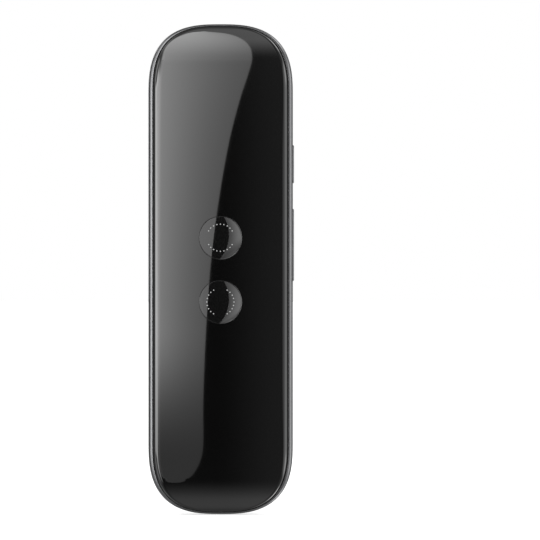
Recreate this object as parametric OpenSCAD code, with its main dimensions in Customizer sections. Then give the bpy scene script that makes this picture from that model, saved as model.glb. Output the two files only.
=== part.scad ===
// Handheld voice translator: a slim stick with a curved glass front, two round
// talk buttons, a metal side band with keys, and a domed rear shell.
// It stands on its end here: +X is the side with the keys, -Y is the front,
// +Z is the top. The origin is the middle of the body.

/* [Body] */
// Length of the body, end to end
body_length = 140; // [134:1:146]
// Width of the body across the side band
body_width = 41.2; // [40.6:0.2:44]
// Depth of the body, front panel to flat back
body_depth = 13; // [12.8:0.1:14]
// Length of the rounded part of each end
end_length = 20.6; // [18:0.2:22]
// Squareness of the ends, 2 is an ellipse
end_power = 2.8; // [2.4:0.1:3.2]
// Points on a quarter of each rounded end
end_steps = 12; // [8:1:16]
// Width of the flat on the back
back_flat_width = 12; // [12:0.5:16]
// Distance from each end of the body to the flat on the back
back_flat_run = 14; // [12:0.5:15]
// Length of the rounded part of each end of the back flat
back_flat_end = 8; // [6:0.5:10]
// Wall of the rear shell
shell_wall = 1.2; // [1:0.1:1.3]

/* [Front panel] */
// Thickness of the panel in its flat middle
panel_thickness = 1.6; // [1.4:0.1:1.7]
// Thickness of the panel at its edge
panel_edge_thickness = 0.45; // [0.4:0.05:0.6]
// Width of the rolled edge along the sides
panel_side_roll = 1.4; // [1:0.1:1.6]
// Length of the rolled edge at the ends
panel_end_roll = 9; // [6:0.5:11]
// Gap between the panel and the lip of the side band
panel_gap = 0.25; // [0.2:0.01:0.35]
// Thickness of the adhesive under the panel
adhesive_thickness = 0.15; // [0.1:0.01:0.2]
// Width of the adhesive's border
adhesive_border = 3; // [2:0.5:4]

/* [Side band] */
// Width of the band seen from the front, along the sides
rim_width = 1.22; // [1.1:0.02:1.4]
// Width of the band seen from the front, at the ends
rim_end_width = 0.55; // [0.5:0.01:0.7]
// Depth of the band, lip to seam
band_depth = 3.85; // [3.8:0.05:4]
// Depth from the lip to the band's widest line
band_widest_depth = 1.85; // [1.6:0.05:2]
// How far the band draws in at the seam, along the sides
band_seam_step = 0.65; // [0.4:0.05:0.8]
// How far the band draws in at the seam, at the ends
band_seam_end_step = 0.3; // [0.2:0.05:0.4]
// Height of the lip above the panel's back
lip_height = 0.35; // [0.3:0.01:0.4]
// Wall of the band, widest line to inner wall
band_wall = 2.2; // [2.1:0.05:2.4]

/* [Talk buttons] */
// Diameter of each button's cap
button_diameter = 12.2; // [11:0.1:12.6]
// Distance between the two buttons
button_pitch = 18.3; // [17.5:0.1:20]
// Height of the middle between the buttons
button_middle = -0.2; // [-1:0.1:1]
// Running gap round each cap
button_gap = 0.2; // [0.15:0.01:0.3]
// Depth of the dish in each cap
dish_depth = 0.5; // [0.3:0.05:0.6]
// Chamfer round each cap
button_chamfer = 0.12; // [0.08:0.01:0.2]
// Width of the flange that keeps a cap behind the panel
button_flange_width = 0.9; // [0.7:0.1:1.1]
// Thickness of that flange
button_flange_thickness = 0.5; // [0.4:0.05:0.6]
// Gap between the flange and the panel
button_flange_gap = 0.1; // [0.08:0.01:0.15]
// Diameter of the stem behind each cap
button_stem_diameter = 3; // [2.4:0.1:4]
// Travel of each button
button_travel = 0.3; // [0.2:0.01:0.3]
// Diameter of the ring of dots
dot_ring_diameter = 7.7; // [7:0.1:8.4]
// Diameter of one dot
dot_diameter = 0.35; // [0.3:0.01:0.5]
// Places round the full ring of dots
dot_places = 24; // [16:4:24]
// Places left out on each side of each gap's middle
dot_gap_half = 1; // [0:1:2]
// Depth of a dot's inlay
dot_depth = 0.2; // [0.15:0.01:0.3]

/* [Side keys] */
// Length of the power key
power_key_length = 11; // [9:0.5:12]
// Distance from the top end to the power key's middle
power_key_from_top = 40; // [38:0.5:42]
// Length of the volume rocker
rocker_length = 20.7; // [19:0.5:22]
// Distance from the top end to the rocker's middle
rocker_from_top = 63.1; // [62:0.1:65]
// Depth of a key, front to back
key_depth = 1.8; // [1.6:0.05:1.9]
// Distance from the band's lip to the keys' middle
key_inset = 2.05; // [2:0.05:2.2]
// How far a key stands out of the band
key_stand = 0.4; // [0.3:0.05:0.5]
// Gap between a key and its slot
key_gap = 0.15; // [0.12:0.01:0.2]
// Thickness of a key's inner flange
key_flange_thickness = 0.5; // [0.4:0.05:0.6]
// How far the flange reaches past the slot
key_flange_reach = 0.45; // [0.3:0.05:0.5]
// Gap left between the tilted rocker's flange and the band's inner wall
key_end_gap = 0.08; // [0.05:0.01:0.15]
// Travel of the power key
key_travel = 0.25; // [0.15:0.01:0.25]
// Distance from the rocker's middle to each of its switches
rocker_switch_offset = 6.5; // [6:0.1:7]
// Tilt of the rocker each way, in degrees
rocker_tilt = 0.9; // [0.5:0.1:1]

/* [Speaker] */
// Distance from the top end to the speaker's middle
speaker_from_top = 26.6; // [26:0.2:28]
// Width of the speaker
speaker_width = 14; // [13:0.5:14]
// Length of the speaker
speaker_length = 20; // [19:0.5:21]
// Corner radius of the speaker
speaker_corner = 3.5; // [3:0.25:4]
// Depth of the basket
basket_depth = 1.9; // [1.7:0.1:2]
// Wall of the basket
basket_wall = 1.1; // [0.9:0.1:1.3]
// Width of the magnet
magnet_width = 8.6; // [8:0.1:9]
// Length of the magnet
magnet_length = 14.6; // [14:0.1:15]
// Depth of the magnet
magnet_depth = 1.9; // [1.7:0.1:2]
// Width of the voice coil's groove in the magnet
coil_groove = 0.8; // [0.7:0.05:0.9]
// Wall of the voice coil
coil_wall = 0.3; // [0.25:0.05:0.35]
// Travel of the cone each way
cone_travel = 0.2; // [0.1:0.01:0.2]
// Thickness of the foam gasket between speaker and shell
gasket_thickness = 0.75; // [0.6:0.05:0.9]
// Rows of grille holes in a long column
grille_rows = 8; // [6:1:8]
// Columns of grille holes
grille_columns = 5; // [3:2:5]
// Distance between holes in a column
grille_pitch = 2.365; // [2.2:0.005:2.4]
// Distance between columns
grille_column_pitch = 2.05; // [1.9:0.05:2.1]
// Diameter of a grille hole
grille_hole = 1; // [0.8:0.05:1.2]

/* [USB socket] */
// Distance from the top end to the socket's middle
usb_from_top = 41.8; // [40:0.2:43]
// Width of the metal socket
usb_width = 7.5; // [7.3:0.1:7.6]
// Thickness of the metal socket, front to back
usb_thickness = 2.6; // [2.5:0.05:2.7]
// Length of the metal socket, from mouth to back
usb_length = 5.6; // [5:0.1:6]
// Sheet of the metal socket
usb_sheet = 0.25; // [0.2:0.01:0.3]
// Opening in the case round the socket, each side
usb_opening_gap = 0.45; // [0.4:0.05:0.55]
// How far the mouth sits inside the body's widest line
usb_recess = 1.3; // [1.2:0.05:1.6]

/* [Microphone] */
// Distance from the top end to the sound hole
mic_from_top = 15.3; // [15.2:0.1:17]
// Diameter of the sound hole
mic_hole = 1.2; // [0.8:0.1:1.3]
// Distance from the band's lip to the sound hole
mic_inset = 2.75; // [2.6:0.05:2.9]

/* [Battery] */
// Room between the cell and the band's inner wall, each side
cell_side_gap = 4.4; // [4.4:0.1:6]
// Room between the cell and the band's inner wall, at the bottom end
cell_end_gap = 9.8; // [9.8:0.1:11]
// Thickness of the cell
cell_thickness = 4.4; // [4:0.1:4.4]
// Length of the protection board at the top of the cell
cell_board_length = 2.6; // [2.2:0.1:3]
// Thickness of the foam pad behind the cell
foam_thickness = 1.5; // [1.2:0.1:1.5]

/* [Circuit board] */
// Thickness of the board
board_thickness = 1; // [0.8:0.1:1]
// Room between the board and the band's inner wall, each side
board_side_gap = 1.4; // [1.4:0.1:2]
// Room between the board and the band's inner wall, at the top end
board_top_gap = 11.4; // [11.3:0.1:11.6]
// Length of the board that lies over the cell
board_overlap = 18; // [16:0.5:20]
// Corner radius of the board
board_corner = 1.5; // [1:0.1:2]
// Distance from the chassis plate to the board
board_stand = 1.75; // [1.7:0.05:1.8]

/* [Chassis] */
// Thickness of the chassis plate
chassis_thickness = 1; // [0.9:0.05:1.1]
// Gap between the chassis and the side band
chassis_gap = 0.15; // [0.1:0.01:0.2]
// Diameter of the bosses for the case screws
boss_diameter = 3.8; // [3.4:0.1:4]
// Diameter of the case screws
case_screw = 1.4; // [1.2:0.1:1.6]
// Diameter of the board screws
board_screw = 1.2; // [1:0.1:1.4]
// Clearance round a screw in a plain hole, on the radius
screw_clearance = 0.15; // [0.1:0.01:0.2]
// Clearance round a screw in its threaded hole, on the radius
thread_clearance = 0.03; // [0.02:0.01:0.05]

/* [Hidden] */
$fn = 48;
eps = 0.01;

// Depths, front to back along Y
front_y = -body_depth / 2;
back_y = body_depth / 2;
panel_back_y = front_y + panel_thickness;
panel_edge_y = panel_back_y - panel_edge_thickness;
lip_y = panel_back_y - lip_height;
widest_y = lip_y + band_widest_depth;
seam_y = lip_y + band_depth;
inner_back_y = back_y - shell_wall;
chassis_front_y = panel_back_y + adhesive_thickness;
chassis_back_y = chassis_front_y + chassis_thickness;
board_front_y = chassis_back_y + board_stand;
board_back_y = board_front_y + board_thickness;
tape_thickness = 0.2;
cell_front_y = board_back_y + tape_thickness;
cell_back_y = cell_front_y + cell_thickness;

adhesive_inset = 0.2;
adhesive_bar = 3.6;

// Half widths and half lengths of the nested outlines
half_width = body_width / 2;
half_length = body_length / 2;
seam_half_width = half_width - band_seam_step;
seam_half_length = half_length - band_seam_end_step;
seam_end = end_length - band_seam_end_step;
inner_half_width = half_width - band_wall;
inner_half_length = half_length - band_wall;
inner_end = end_length - band_wall;
panel_half_width = half_width - rim_width - panel_gap;
panel_half_length = half_length - rim_end_width - panel_gap;
panel_end = end_length - rim_end_width - panel_gap;
flat_half_width = back_flat_width / 2;
flat_half_length = half_length - back_flat_run;

// Heights along Z
power_key_height = half_length - power_key_from_top;
rocker_height = half_length - rocker_from_top;
speaker_height = half_length - speaker_from_top;
usb_height = half_length - usb_from_top;
mic_height = half_length - mic_from_top;
board_top = inner_half_length - board_top_gap;
cell_bottom = -(inner_half_length - cell_end_gap);
usb_to_cell = 34.2;
cell_top = usb_height - usb_to_cell;
cell_length = cell_top - cell_bottom;
cell_width = 2 * (inner_half_width - cell_side_gap);
board_bottom = cell_top - board_overlap;
board_width = 2 * (inner_half_width - board_side_gap);

// Steps in each rounded section
rim_steps = 5;
roll_steps = 6;
shell_steps = 10;
cavity_steps = 7;

// Talk buttons
upper_button_z = button_middle + button_pitch / 2;
lower_button_z = button_middle - button_pitch / 2;
button_radius = button_diameter / 2;
button_hole_radius = button_radius + button_gap;
dish_edge_radius = button_radius - button_chamfer;
dish_radius = (pow(dish_edge_radius, 2) + pow(dish_depth, 2)) / (2 * dish_depth);
dish_steps = 12;
flange_radius = button_hole_radius + button_flange_width;
flange_front_y = panel_back_y + button_flange_gap;
flange_back_y = flange_front_y + button_flange_thickness;
well_radius = flange_radius + 0.4;
dot_ring_radius = dot_ring_diameter / 2;
dish_at_dots = dish_drop(dot_ring_radius);

// Talk switches, which stand on the board's front
switch_contact_gap = 0.05;
talk_switch_width = 5.2;
talk_switch_height = button_travel + 0.7;
talk_plunger_radius = 1.2;
plunger_clearance = 0.1;
plunger_flange_radius = 1.7;
plunger_flange_height = 0.25;
switch_floor = 0.1;
switch_lid = 0.15;
talk_plunger_rise = 0.35;
talk_switch_front_y = board_front_y - talk_switch_height;
talk_tip_y = talk_switch_front_y - talk_plunger_rise;
stem_end_y = talk_tip_y - switch_contact_gap;
talk_flange_front_y = talk_switch_front_y + switch_lid + 0.03;
dome_thickness = 0.06;
dome_gap = 0.05;

// Side keys and their switches
key_y = lip_y + key_inset;
key_tip_x = half_width + key_stand;
key_flange_gap = (rocker_length / 2 + key_flange_reach) * sin(rocker_tilt) + key_end_gap;
key_flange_outer_x = inner_half_width - key_flange_gap;
key_back_x = key_flange_outer_x - key_flange_thickness;
key_room_gap = 0.45;
side_switch_length = 4.4;
side_switch_depth = 1.9;
side_switch_height = board_stand - 0.1;
side_switch_y = board_front_y - side_switch_height / 2;
side_plunger_radius = 0.5;
side_tip_x = key_back_x - switch_contact_gap;
side_plunger_out = 0.75;
side_plunger_in = 0.85;
side_switch_front_x = side_tip_x - side_plunger_out;
side_bore_depth = side_plunger_in + key_travel + 0.1;
fulcrum_radius = 0.5;
fulcrum_gap = 0.1;
fulcrum_foot = 1.2;

// Speaker
speaker_front_y = inner_back_y - gasket_thickness;
basket_back_y = speaker_front_y - basket_depth;
magnet_front_y = basket_back_y + 0.2;
magnet_back_y = magnet_front_y - magnet_depth;
cone_thickness = 0.15;
surround_thickness = 0.12;
surround_y = speaker_front_y - 0.5;
cone_y = surround_y - cone_thickness;
basket_floor = 0.5;
basket_ledge = 0.4;
surround_width = 1.1;
surround_bond = 0.5;
magnet_corner = 1.5;
coil_corner = 1.2;
cone_half_width = speaker_width / 2 - basket_wall - surround_width;
cone_half_length = speaker_length / 2 - basket_wall - surround_width;
cone_corner = speaker_corner - basket_wall;
coil_inset = 1.2;
groove_depth = 1.4;
coil_bottom_gap = cone_travel + 0.15;
mesh_thickness = 0.1;
mesh_margin = 0.6;
mesh_corner = 1.5;

// USB socket
usb_mouth_x = -(half_width - usb_recess);
usb_y = board_back_y + usb_thickness / 2;
usb_corner = 0.6;
usb_opening_corner = 0.7;
usb_opening_depth = 2.4;
tongue_gap = 0.05;
tongue_block = 1.3;
tongue_block_margin = 0.4;
tongue_margin = 1;
tongue_inset = 0.7;
tongue_front = 0.1;
tongue_back = 0.5;

// Microphone
mic_y = lip_y + mic_inset;
mic_width = 2.7;
mic_length = 3.2;
mic_thickness = 1.1;
mic_edge_gap = 0.3;
boot_gap = 0.05;
boot_wall = 0.9;
boot_band_gap = 0.35;
boot_bore = mic_hole - 0.4;
boot_width = 3;
boot_height = board_stand - 0.1;
mic_outer_x = -(board_width / 2 - mic_edge_gap);

// Case screws through the chassis into the rear shell: x and z of each
top_boss_x = 9;
top_boss_z = half_length - 11;
bottom_boss_x = 7;
bottom_boss_z = -(half_length - 8);
boss_places = [
    [-top_boss_x, top_boss_z], [top_boss_x, top_boss_z],
    [-bottom_boss_x, bottom_boss_z], [bottom_boss_x, bottom_boss_z]
];
case_screw_radius = case_screw / 2;
screw_head_radius = case_screw_radius + 0.6;
screw_head_depth = 0.6;
boss_end_gap = 0.05;
screw_head_gap = 0.1;
pilot_depth = 3.2;
pilot_end_gap = 0.1;

// Board screws from the back into the chassis posts
post_radius = 1.6;
board_screw_radius = board_screw / 2;
board_screw_head_radius = board_screw_radius + 0.6;
board_screw_head = 0.6;
board_screw_grip = 1.5;
post_x = board_width / 2 - post_radius;
post_places = [
    [-post_x, board_top - 8.6], [post_x, board_top - 4],
    [-post_x, board_bottom + 2.8], [post_x, board_bottom + 2.8]
];

// ---------------------------------------------------------------- outlines

// Closed outline in the XZ plane: straight sides and superelliptic ends, each
// end worked out in polar form so that its points are evenly spaced.
function end_radius(half_w, end, angle) =
    pow(pow(abs(cos(angle)) / half_w, end_power) + pow(abs(sin(angle)) / end, end_power), -1 / end_power);

function track(half_w, half_l, end) = [
    for (half = [0, 1], step = [0:2 * end_steps])
        let (angle = 180 * half + 90 * step / end_steps, radius = end_radius(half_w, end, angle))
        [radius * cos(angle), radius * sin(angle) + (half == 0 ? 1 : -1) * (half_l - end)]
];

// A solid between outlines at rising depths; each ring is [y, half width,
// half length, end]. A looped solid joins its last ring to its first.
module loft(rings, looped = false) {
    count = len(rings);
    around = 4 * end_steps + 2;
    points = [for (ring = rings) for (p = track(ring[1], ring[2], ring[3])) [p[0], ring[0], p[1]]];
    sides = [
        for (i = [0:count - (looped ? 1 : 2)], j = [0:around - 1])
            let (next = (i + 1) % count, k = (j + 1) % around)
            [i * around + j, i * around + k, next * around + k, next * around + j]
    ];
    front = [[for (j = [around - 1:-1:0]) j]];
    back = [[for (j = [0:around - 1]) (count - 1) * around + j]];
    polyhedron(points, looped ? sides : concat(sides, front, back), convexity = 8);
}

// A flat outline drawn in X and Z, given depth from y0 to y1.
module through_depth(y0, y1) {
    translate([0, y1, 0])
        rotate([90, 0, 0])
            linear_extrude(height = y1 - y0)
                children();
}

// A flat outline drawn in Y (as its width) and Z, given width from x0 to x1.
module through_width(x0, x1) {
    translate([x0, 0, 0])
        rotate([90, 0, 90])
            linear_extrude(height = x1 - x0)
                children();
}

// A round bar along Y, from y0 to y1, at [x, z].
module round_bar(place, radius, y0, y1) {
    translate([place[0], y1, place[1]])
        rotate([90, 0, 0])
            cylinder(r = radius, h = y1 - y0);
}

// A round bar along X, from x0 to x1, at [y, z].
module cross_bar(place, radius, x0, x1) {
    translate([x0, place[0], place[1]])
        rotate([0, 90, 0])
            cylinder(r = radius, h = x1 - x0);
}

// A rectangle with round corners, centred.
module rounded(width, length, corner) {
    square([width - 2 * corner, length], center = true);
    square([width, length - 2 * corner], center = true);
    for (x = [-1, 1], z = [-1, 1])
        translate([x * (width / 2 - corner), z * (length / 2 - corner)])
            circle(r = corner);
}

// A block from its low corner to its high corner.
module block(low, high) {
    translate(low)
        cube(high - low);
}

// A round wire along a smooth curve between two points, leaving the first and
// reaching the second along Z.
wire_sides = 8;
wire_steps = 10;

function curve_point(from, to, pull, t) =
    let (a = from + [0, 0, pull], b = to - [0, 0, pull], s = 1 - t)
    s * s * s * from + 3 * s * s * t * a + 3 * s * t * t * b + t * t * t * to;

function curve_heading(from, to, pull, t) =
    let (step = 0.001, d = curve_point(from, to, pull, t + step) - curve_point(from, to, pull, t - step))
    d / norm(d);

module wire(from, to, pull, radius) {
    points = [
        for (i = [0:wire_steps])
            let (
                t = i / wire_steps,
                middle = curve_point(from, to, pull, t),
                along = curve_heading(from, to, pull, t),
                side_raw = cross(along, [0, 1, 0]),
                side = side_raw / norm(side_raw),
                up = cross(side, along)
            )
            for (j = [0:wire_sides - 1])
                let (angle = 360 * j / wire_sides)
                middle + radius * (cos(angle) * side + sin(angle) * up)
    ];
    walls = [
        for (i = [0:wire_steps - 1], j = [0:wire_sides - 1])
            let (k = (j + 1) % wire_sides)
            [i * wire_sides + j, (i + 1) * wire_sides + j, (i + 1) * wire_sides + k, i * wire_sides + k]
    ];
    start = [[for (j = [0:wire_sides - 1]) j]];
    finish = [[for (j = [wire_sides - 1:-1:0]) wire_steps * wire_sides + j]];
    polyhedron(points, concat(walls, start, finish), convexity = 4);
}

// ------------------------------------------------------------------- casing

function panel_ring(t) = [
    panel_edge_y - (panel_edge_y - front_y) * sin(t),
    panel_half_width - panel_side_roll * (1 - cos(t)),
    panel_half_length - panel_end_roll * (1 - cos(t)),
    panel_end - (panel_end_roll - panel_side_roll) * (1 - cos(t))
];

// Glossy front panel with elliptical rolled edges and two round holes.
module front_panel() {
    rolled = [for (i = [roll_steps:-1:0]) panel_ring(90 * i / roll_steps)];
    back_ring = [[panel_back_y, panel_half_width, panel_half_length, panel_end]];
    color("black")
        difference() {
            loft(concat(rolled, back_ring));
            for (z = [upper_button_z, lower_button_z])
                round_bar([0, z], button_hole_radius, front_y - 1, panel_back_y + 1);
        }
}

// Die-cut tape between the panel and the chassis plate.
module panel_adhesive() {
    outer = chassis_gap + adhesive_inset;
    color("dimgray")
        through_depth(panel_back_y, chassis_front_y)
            difference() {
                polygon(track(inner_half_width - outer, inner_half_length - outer, inner_end - outer));
                difference() {
                    polygon(track(
                        inner_half_width - outer - adhesive_border,
                        inner_half_length - outer - adhesive_border,
                        inner_end - outer - adhesive_border));
                    square([body_width, adhesive_bar], center = true);
                }
                for (place = boss_places)
                    translate(place)
                        circle(r = screw_head_radius + adhesive_inset);
                for (z = [upper_button_z, lower_button_z])
                    translate([0, z])
                        circle(r = well_radius);
                key_room();
            }
}

// Outline of the room that the keys' flanges need, seen from the front.
module key_room() {
    room_x = key_back_x - key_room_gap;
    reach = key_flange_reach + key_room_gap;
    for (key = [[power_key_height, power_key_length], [rocker_height, rocker_length]])
        translate([room_x, key[0] - key[1] / 2 - reach])
            square([half_width - room_x, key[1] + 2 * reach]);
}

function band_front_ring(t) = [
    widest_y - band_widest_depth * sin(t),
    half_width - rim_width * (1 - cos(t)),
    half_length - rim_end_width * (1 - cos(t)),
    end_length - rim_end_width * (1 - cos(t))
];

band_rear_sweep = 60;
function band_rear_ring(t) =
    let (share = (1 - cos(t)) / (1 - cos(band_rear_sweep)))
    [
        widest_y + (seam_y - widest_y) * sin(t) / sin(band_rear_sweep),
        half_width - band_seam_step * share,
        half_length - band_seam_end_step * share,
        end_length - band_seam_end_step * share
    ];

// Metal band round the sides: a rounded outer face, a lip round the panel, a
// shelf under the panel's edge, and openings for keys, socket and microphone.
module side_band() {
    lip_half_width = half_width - rim_width;
    lip_half_length = half_length - rim_end_width;
    lip_end = end_length - rim_end_width;
    front_rings = [for (i = [rim_steps:-1:0]) band_front_ring(90 * i / rim_steps)];
    rear_rings = [for (i = [1:rim_steps]) band_rear_ring(band_rear_sweep * i / rim_steps)];
    inner_rings = [
        [seam_y, inner_half_width, inner_half_length, inner_end],
        [panel_back_y, inner_half_width, inner_half_length, inner_end],
        [panel_back_y, lip_half_width, lip_half_length, lip_end]
    ];
    color([0.33, 0.34, 0.36])
        difference() {
            loft(concat(front_rings, rear_rings, inner_rings), looped = true);
            key_slot(power_key_height, power_key_length);
            key_slot(rocker_height, rocker_length);
            usb_opening();
            cross_bar([mic_y, mic_height], mic_hole / 2, -half_width - 1, -inner_half_width + 1);
        }
}

// Outline of a key seen from its side: a bar with round ends.
module key_outline(length, depth) {
    square([depth, length - depth], center = true);
    for (end = [-1, 1])
        translate([0, end * (length - depth) / 2])
            circle(d = depth);
}

module key_slot(height, length) {
    translate([0, key_y, height])
        through_width(inner_half_width - 1, half_width + 1)
            key_outline(length + 2 * key_gap, key_depth + 2 * key_gap);
}

// Opening in the case for a plug, through the shell and the band's edge.
module usb_opening() {
    translate([0, usb_y, usb_height])
        through_width(-half_width - 1, -inner_half_width + usb_opening_depth)
            rounded(usb_thickness + 2 * usb_opening_gap, usb_width + 2 * usb_opening_gap, usb_opening_corner);
}

function shell_ring(t) = [
    seam_y + (back_y - seam_y) * sin(t),
    flat_half_width + (seam_half_width - flat_half_width) * cos(t),
    flat_half_length + (seam_half_length - flat_half_length) * cos(t),
    back_flat_end + (seam_end - back_flat_end) * cos(t)
];

function cavity_ring(t) = [
    seam_y + (inner_back_y - seam_y) * sin(t),
    flat_half_width + (inner_half_width - flat_half_width) * cos(t),
    flat_half_length + (inner_half_length - flat_half_length) * cos(t),
    back_flat_end + (inner_end - back_flat_end) * cos(t)
];

// Domed rear shell: elliptical section, flat back, grille, screw bosses, ribs
// beside the cell and hooks that clip inside the band.
module rear_shell() {
    color([0.06, 0.06, 0.065])
        difference() {
            loft([for (i = [0:shell_steps]) shell_ring(90 * i / shell_steps)]);
            difference() {
                shell_cavity();
                shell_inside();
            }
            for (place = boss_places)
                round_bar(place, case_screw_radius + thread_clearance, seam_y - 1, seam_y + pilot_depth);
            grille_holes();
            usb_opening();
        }
    color([0.06, 0.06, 0.065])
        hook_tongues();
}

module shell_cavity() {
    floor_ring = cavity_ring(0);
    below = [[floor_ring[0] - 1, floor_ring[1], floor_ring[2], floor_ring[3]]];
    loft(concat(below, [for (i = [0:cavity_steps]) cavity_ring(90 * i / cavity_steps)]));
}

cell_rib = 0.9;
cell_rib_gap = 0.25;
cell_rib_clear = 1.4;
cell_rib_margin = 8;
speaker_fence = 0.8;
speaker_fence_gap = 0.15;
speaker_fence_rise = 0.4;
fence_window_length = 10;
fence_window_width = 9.2;

// What stands inside the shell's cavity and grows out of its wall.
module shell_inside() {
    hook_roots();
    for (place = boss_places)
        round_bar(place, boss_diameter / 2, seam_y, back_y);
    for (side = [-1, 1])
        translate([side * (cell_width / 2 + cell_rib_gap + cell_rib / 2), 0, 0])
            block([-cell_rib / 2, seam_y + cell_rib_clear, cell_bottom + cell_rib_margin],
                [cell_rib / 2, back_y, cell_top - cell_rib_margin]);
    speaker_corners();
}

// Four corner walls that hold the speaker: a fence round it with a window in
// each side.
module speaker_corners() {
    inner = 2 * speaker_fence_gap;
    outer = inner + 2 * speaker_fence;
    difference() {
        through_depth(basket_back_y + speaker_fence_rise, back_y)
            translate([0, speaker_height])
                rounded(speaker_width + outer, speaker_length + outer, speaker_corner + speaker_fence);
        through_depth(basket_back_y, inner_back_y)
            translate([0, speaker_height])
                rounded(speaker_width + inner, speaker_length + inner, speaker_corner);
        block([-half_width, basket_back_y, speaker_height - fence_window_length / 2],
            [half_width, inner_back_y, speaker_height + fence_window_length / 2]);
        block([-fence_window_width / 2, basket_back_y, speaker_height - speaker_length],
            [fence_window_width / 2, inner_back_y, speaker_height + speaker_length]);
    }
}

grille_centre = speaker_height;

// Staggered columns of holes: long columns and short ones in turn, with the
// outermost columns short.
module grille_holes() {
    for (column = [0:grille_columns - 1]) {
        rows = grille_rows - (column % 2 == 0 ? 1 : 0);
        x = (column - (grille_columns - 1) / 2) * grille_column_pitch;
        for (row = [0:rows - 1])
            round_bar([x, grille_centre + (row - (rows - 1) / 2) * grille_pitch], grille_hole / 2,
                inner_back_y - 0.5, back_y + 1);
    }
}

hook_length = 4;
hook_reach = 0.9;
hook_root = 1.2;
hook_thickness = 0.6;
hook_outer_x = inner_half_width - chassis_gap;
hook_pitch = 18;
hook_from_cell = 14;
hook_from_usb = 12.2;
lowest_hook = cell_bottom + hook_from_cell;
top_hook = usb_height - hook_from_usb;
left_hooks = [lowest_hook, lowest_hook + hook_pitch, lowest_hook + 2 * hook_pitch, top_hook];
right_hooks = [lowest_hook, lowest_hook + hook_pitch];

// One block for each hook, from the hooks' inner side out to outer_x.
module hook_blocks(outer_x, y0, y1) {
    inner_x = hook_outer_x - hook_thickness;
    for (z = left_hooks)
        block([-outer_x, y0, z - hook_length / 2], [-inner_x, y1, z + hook_length / 2]);
    for (z = right_hooks)
        block([inner_x, y0, z - hook_length / 2], [outer_x, y1, z + hook_length / 2]);
}

// Roots of the hooks, inside the cavity and joined to its wall.
module hook_roots() {
    hook_blocks(half_width, seam_y, seam_y + hook_root);
}

// Tongues that reach from the roots into the band.
module hook_tongues() {
    hook_blocks(hook_outer_x, seam_y - hook_reach, seam_y + hook_root / 2);
}

// ------------------------------------------------------------------ chassis

// Moulded plate behind the panel: wells for the buttons, bosses for the case
// screws, posts for the board, ribs under the cell, and the rocker's fulcrum.
module inner_chassis() {
    color([0.25, 0.26, 0.28])
        difference() {
            union() {
                through_depth(chassis_front_y, chassis_back_y)
                    difference() {
                        polygon(track(
                            inner_half_width - chassis_gap,
                            inner_half_length - chassis_gap,
                            inner_end - chassis_gap));
                        for (z = [upper_button_z, lower_button_z])
                            translate([0, z])
                                circle(r = well_radius);
                        key_room();
                    }
                for (place = boss_places)
                    round_bar(place, boss_diameter / 2, chassis_back_y - eps, seam_y - boss_end_gap);
                for (place = post_places)
                    round_bar(place, post_radius, chassis_back_y - eps, board_front_y);
                cell_supports();
                rocker_fulcrum();
            }
            for (place = boss_places) {
                round_bar(place, case_screw_radius + screw_clearance, chassis_front_y - 1, seam_y + 1);
                round_bar(place, screw_head_radius + screw_head_gap, chassis_front_y - 1,
                    chassis_front_y + screw_head_depth);
            }
            for (place = post_places)
                round_bar(place, board_screw_radius + thread_clearance,
                    board_front_y - board_screw_grip - pilot_end_gap, board_front_y + 1);
        }
}

cell_support_pitch = 9;
cell_support = 1.2;
cell_support_gap = 0.05;
cell_support_margin = 2;

// Ribs on the plate's back that carry the cell below the board's edge.
module cell_supports() {
    for (side = [-1:1])
        translate([side * cell_support_pitch, 0, 0])
            block([-cell_support / 2, chassis_back_y - eps, cell_bottom + cell_support_margin],
                [cell_support / 2, cell_front_y - cell_support_gap, board_bottom - cell_support_margin / 2]);
}

// Rounded upright that the rocker's middle tilts against.
module rocker_fulcrum() {
    x = key_back_x - fulcrum_gap - fulcrum_radius;
    round_bar([x, rocker_height], fulcrum_radius, chassis_front_y, board_front_y);
    block([x - fulcrum_foot, chassis_front_y, rocker_height - fulcrum_radius],
        [x, board_front_y, rocker_height + fulcrum_radius]);
}

recess_width = 1.6;
recess_slot = 0.22;
recess_depth = 0.35;

// Cross-shaped driver recess cut into a screw's head at its face.
module cross_recess(place, face_y) {
    for (turn = [0, 90])
        translate([place[0], face_y, place[1]])
            rotate([0, turn, 0])
                cube([recess_width, 2 * recess_depth, recess_slot], center = true);
}

module chassis_screws() {
    head_y = chassis_front_y + screw_head_depth;
    color("silver")
        for (place = boss_places)
            difference() {
                union() {
                    round_bar(place, screw_head_radius, chassis_front_y + boss_end_gap, head_y);
                    round_bar(place, case_screw_radius, head_y - eps, seam_y + pilot_depth - pilot_end_gap);
                }
                cross_recess(place, chassis_front_y + boss_end_gap);
            }
}

module board_screws() {
    color("silver")
        for (place = post_places)
            difference() {
                union() {
                    round_bar(place, board_screw_head_radius, board_back_y,
                        board_back_y + board_screw_head);
                    round_bar(place, board_screw_radius, board_front_y - board_screw_grip,
                        board_back_y + eps);
                }
                cross_recess(place, board_back_y + board_screw_head);
            }
}

// ------------------------------------------------------------- talk buttons

// Angles of the dots: the ring is broken at two opposite places.
function dot_angles(gap_angle) = [
    for (i = [0:dot_places - 1])
        let (angle = 360 * i / dot_places, turn = (angle - gap_angle + 360) % 180)
        if (min(turn, 180 - turn) > (dot_gap_half + 0.5) * 360 / dot_places)
            angle
];

module dot_bars(height, gap_angle, front) {
    bottom_y = front_y + dish_at_dots + dot_depth;
    for (angle = dot_angles(gap_angle))
        round_bar([dot_ring_radius * cos(angle), height + dot_ring_radius * sin(angle)],
            dot_diameter / 2, front, bottom_y, $fn = 16);
}

// Depth of the spherical dish below the cap's rim, at a radius.
function dish_drop(radius) = dish_depth - dish_radius + sqrt(pow(dish_radius, 2) - pow(radius, 2));

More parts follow.
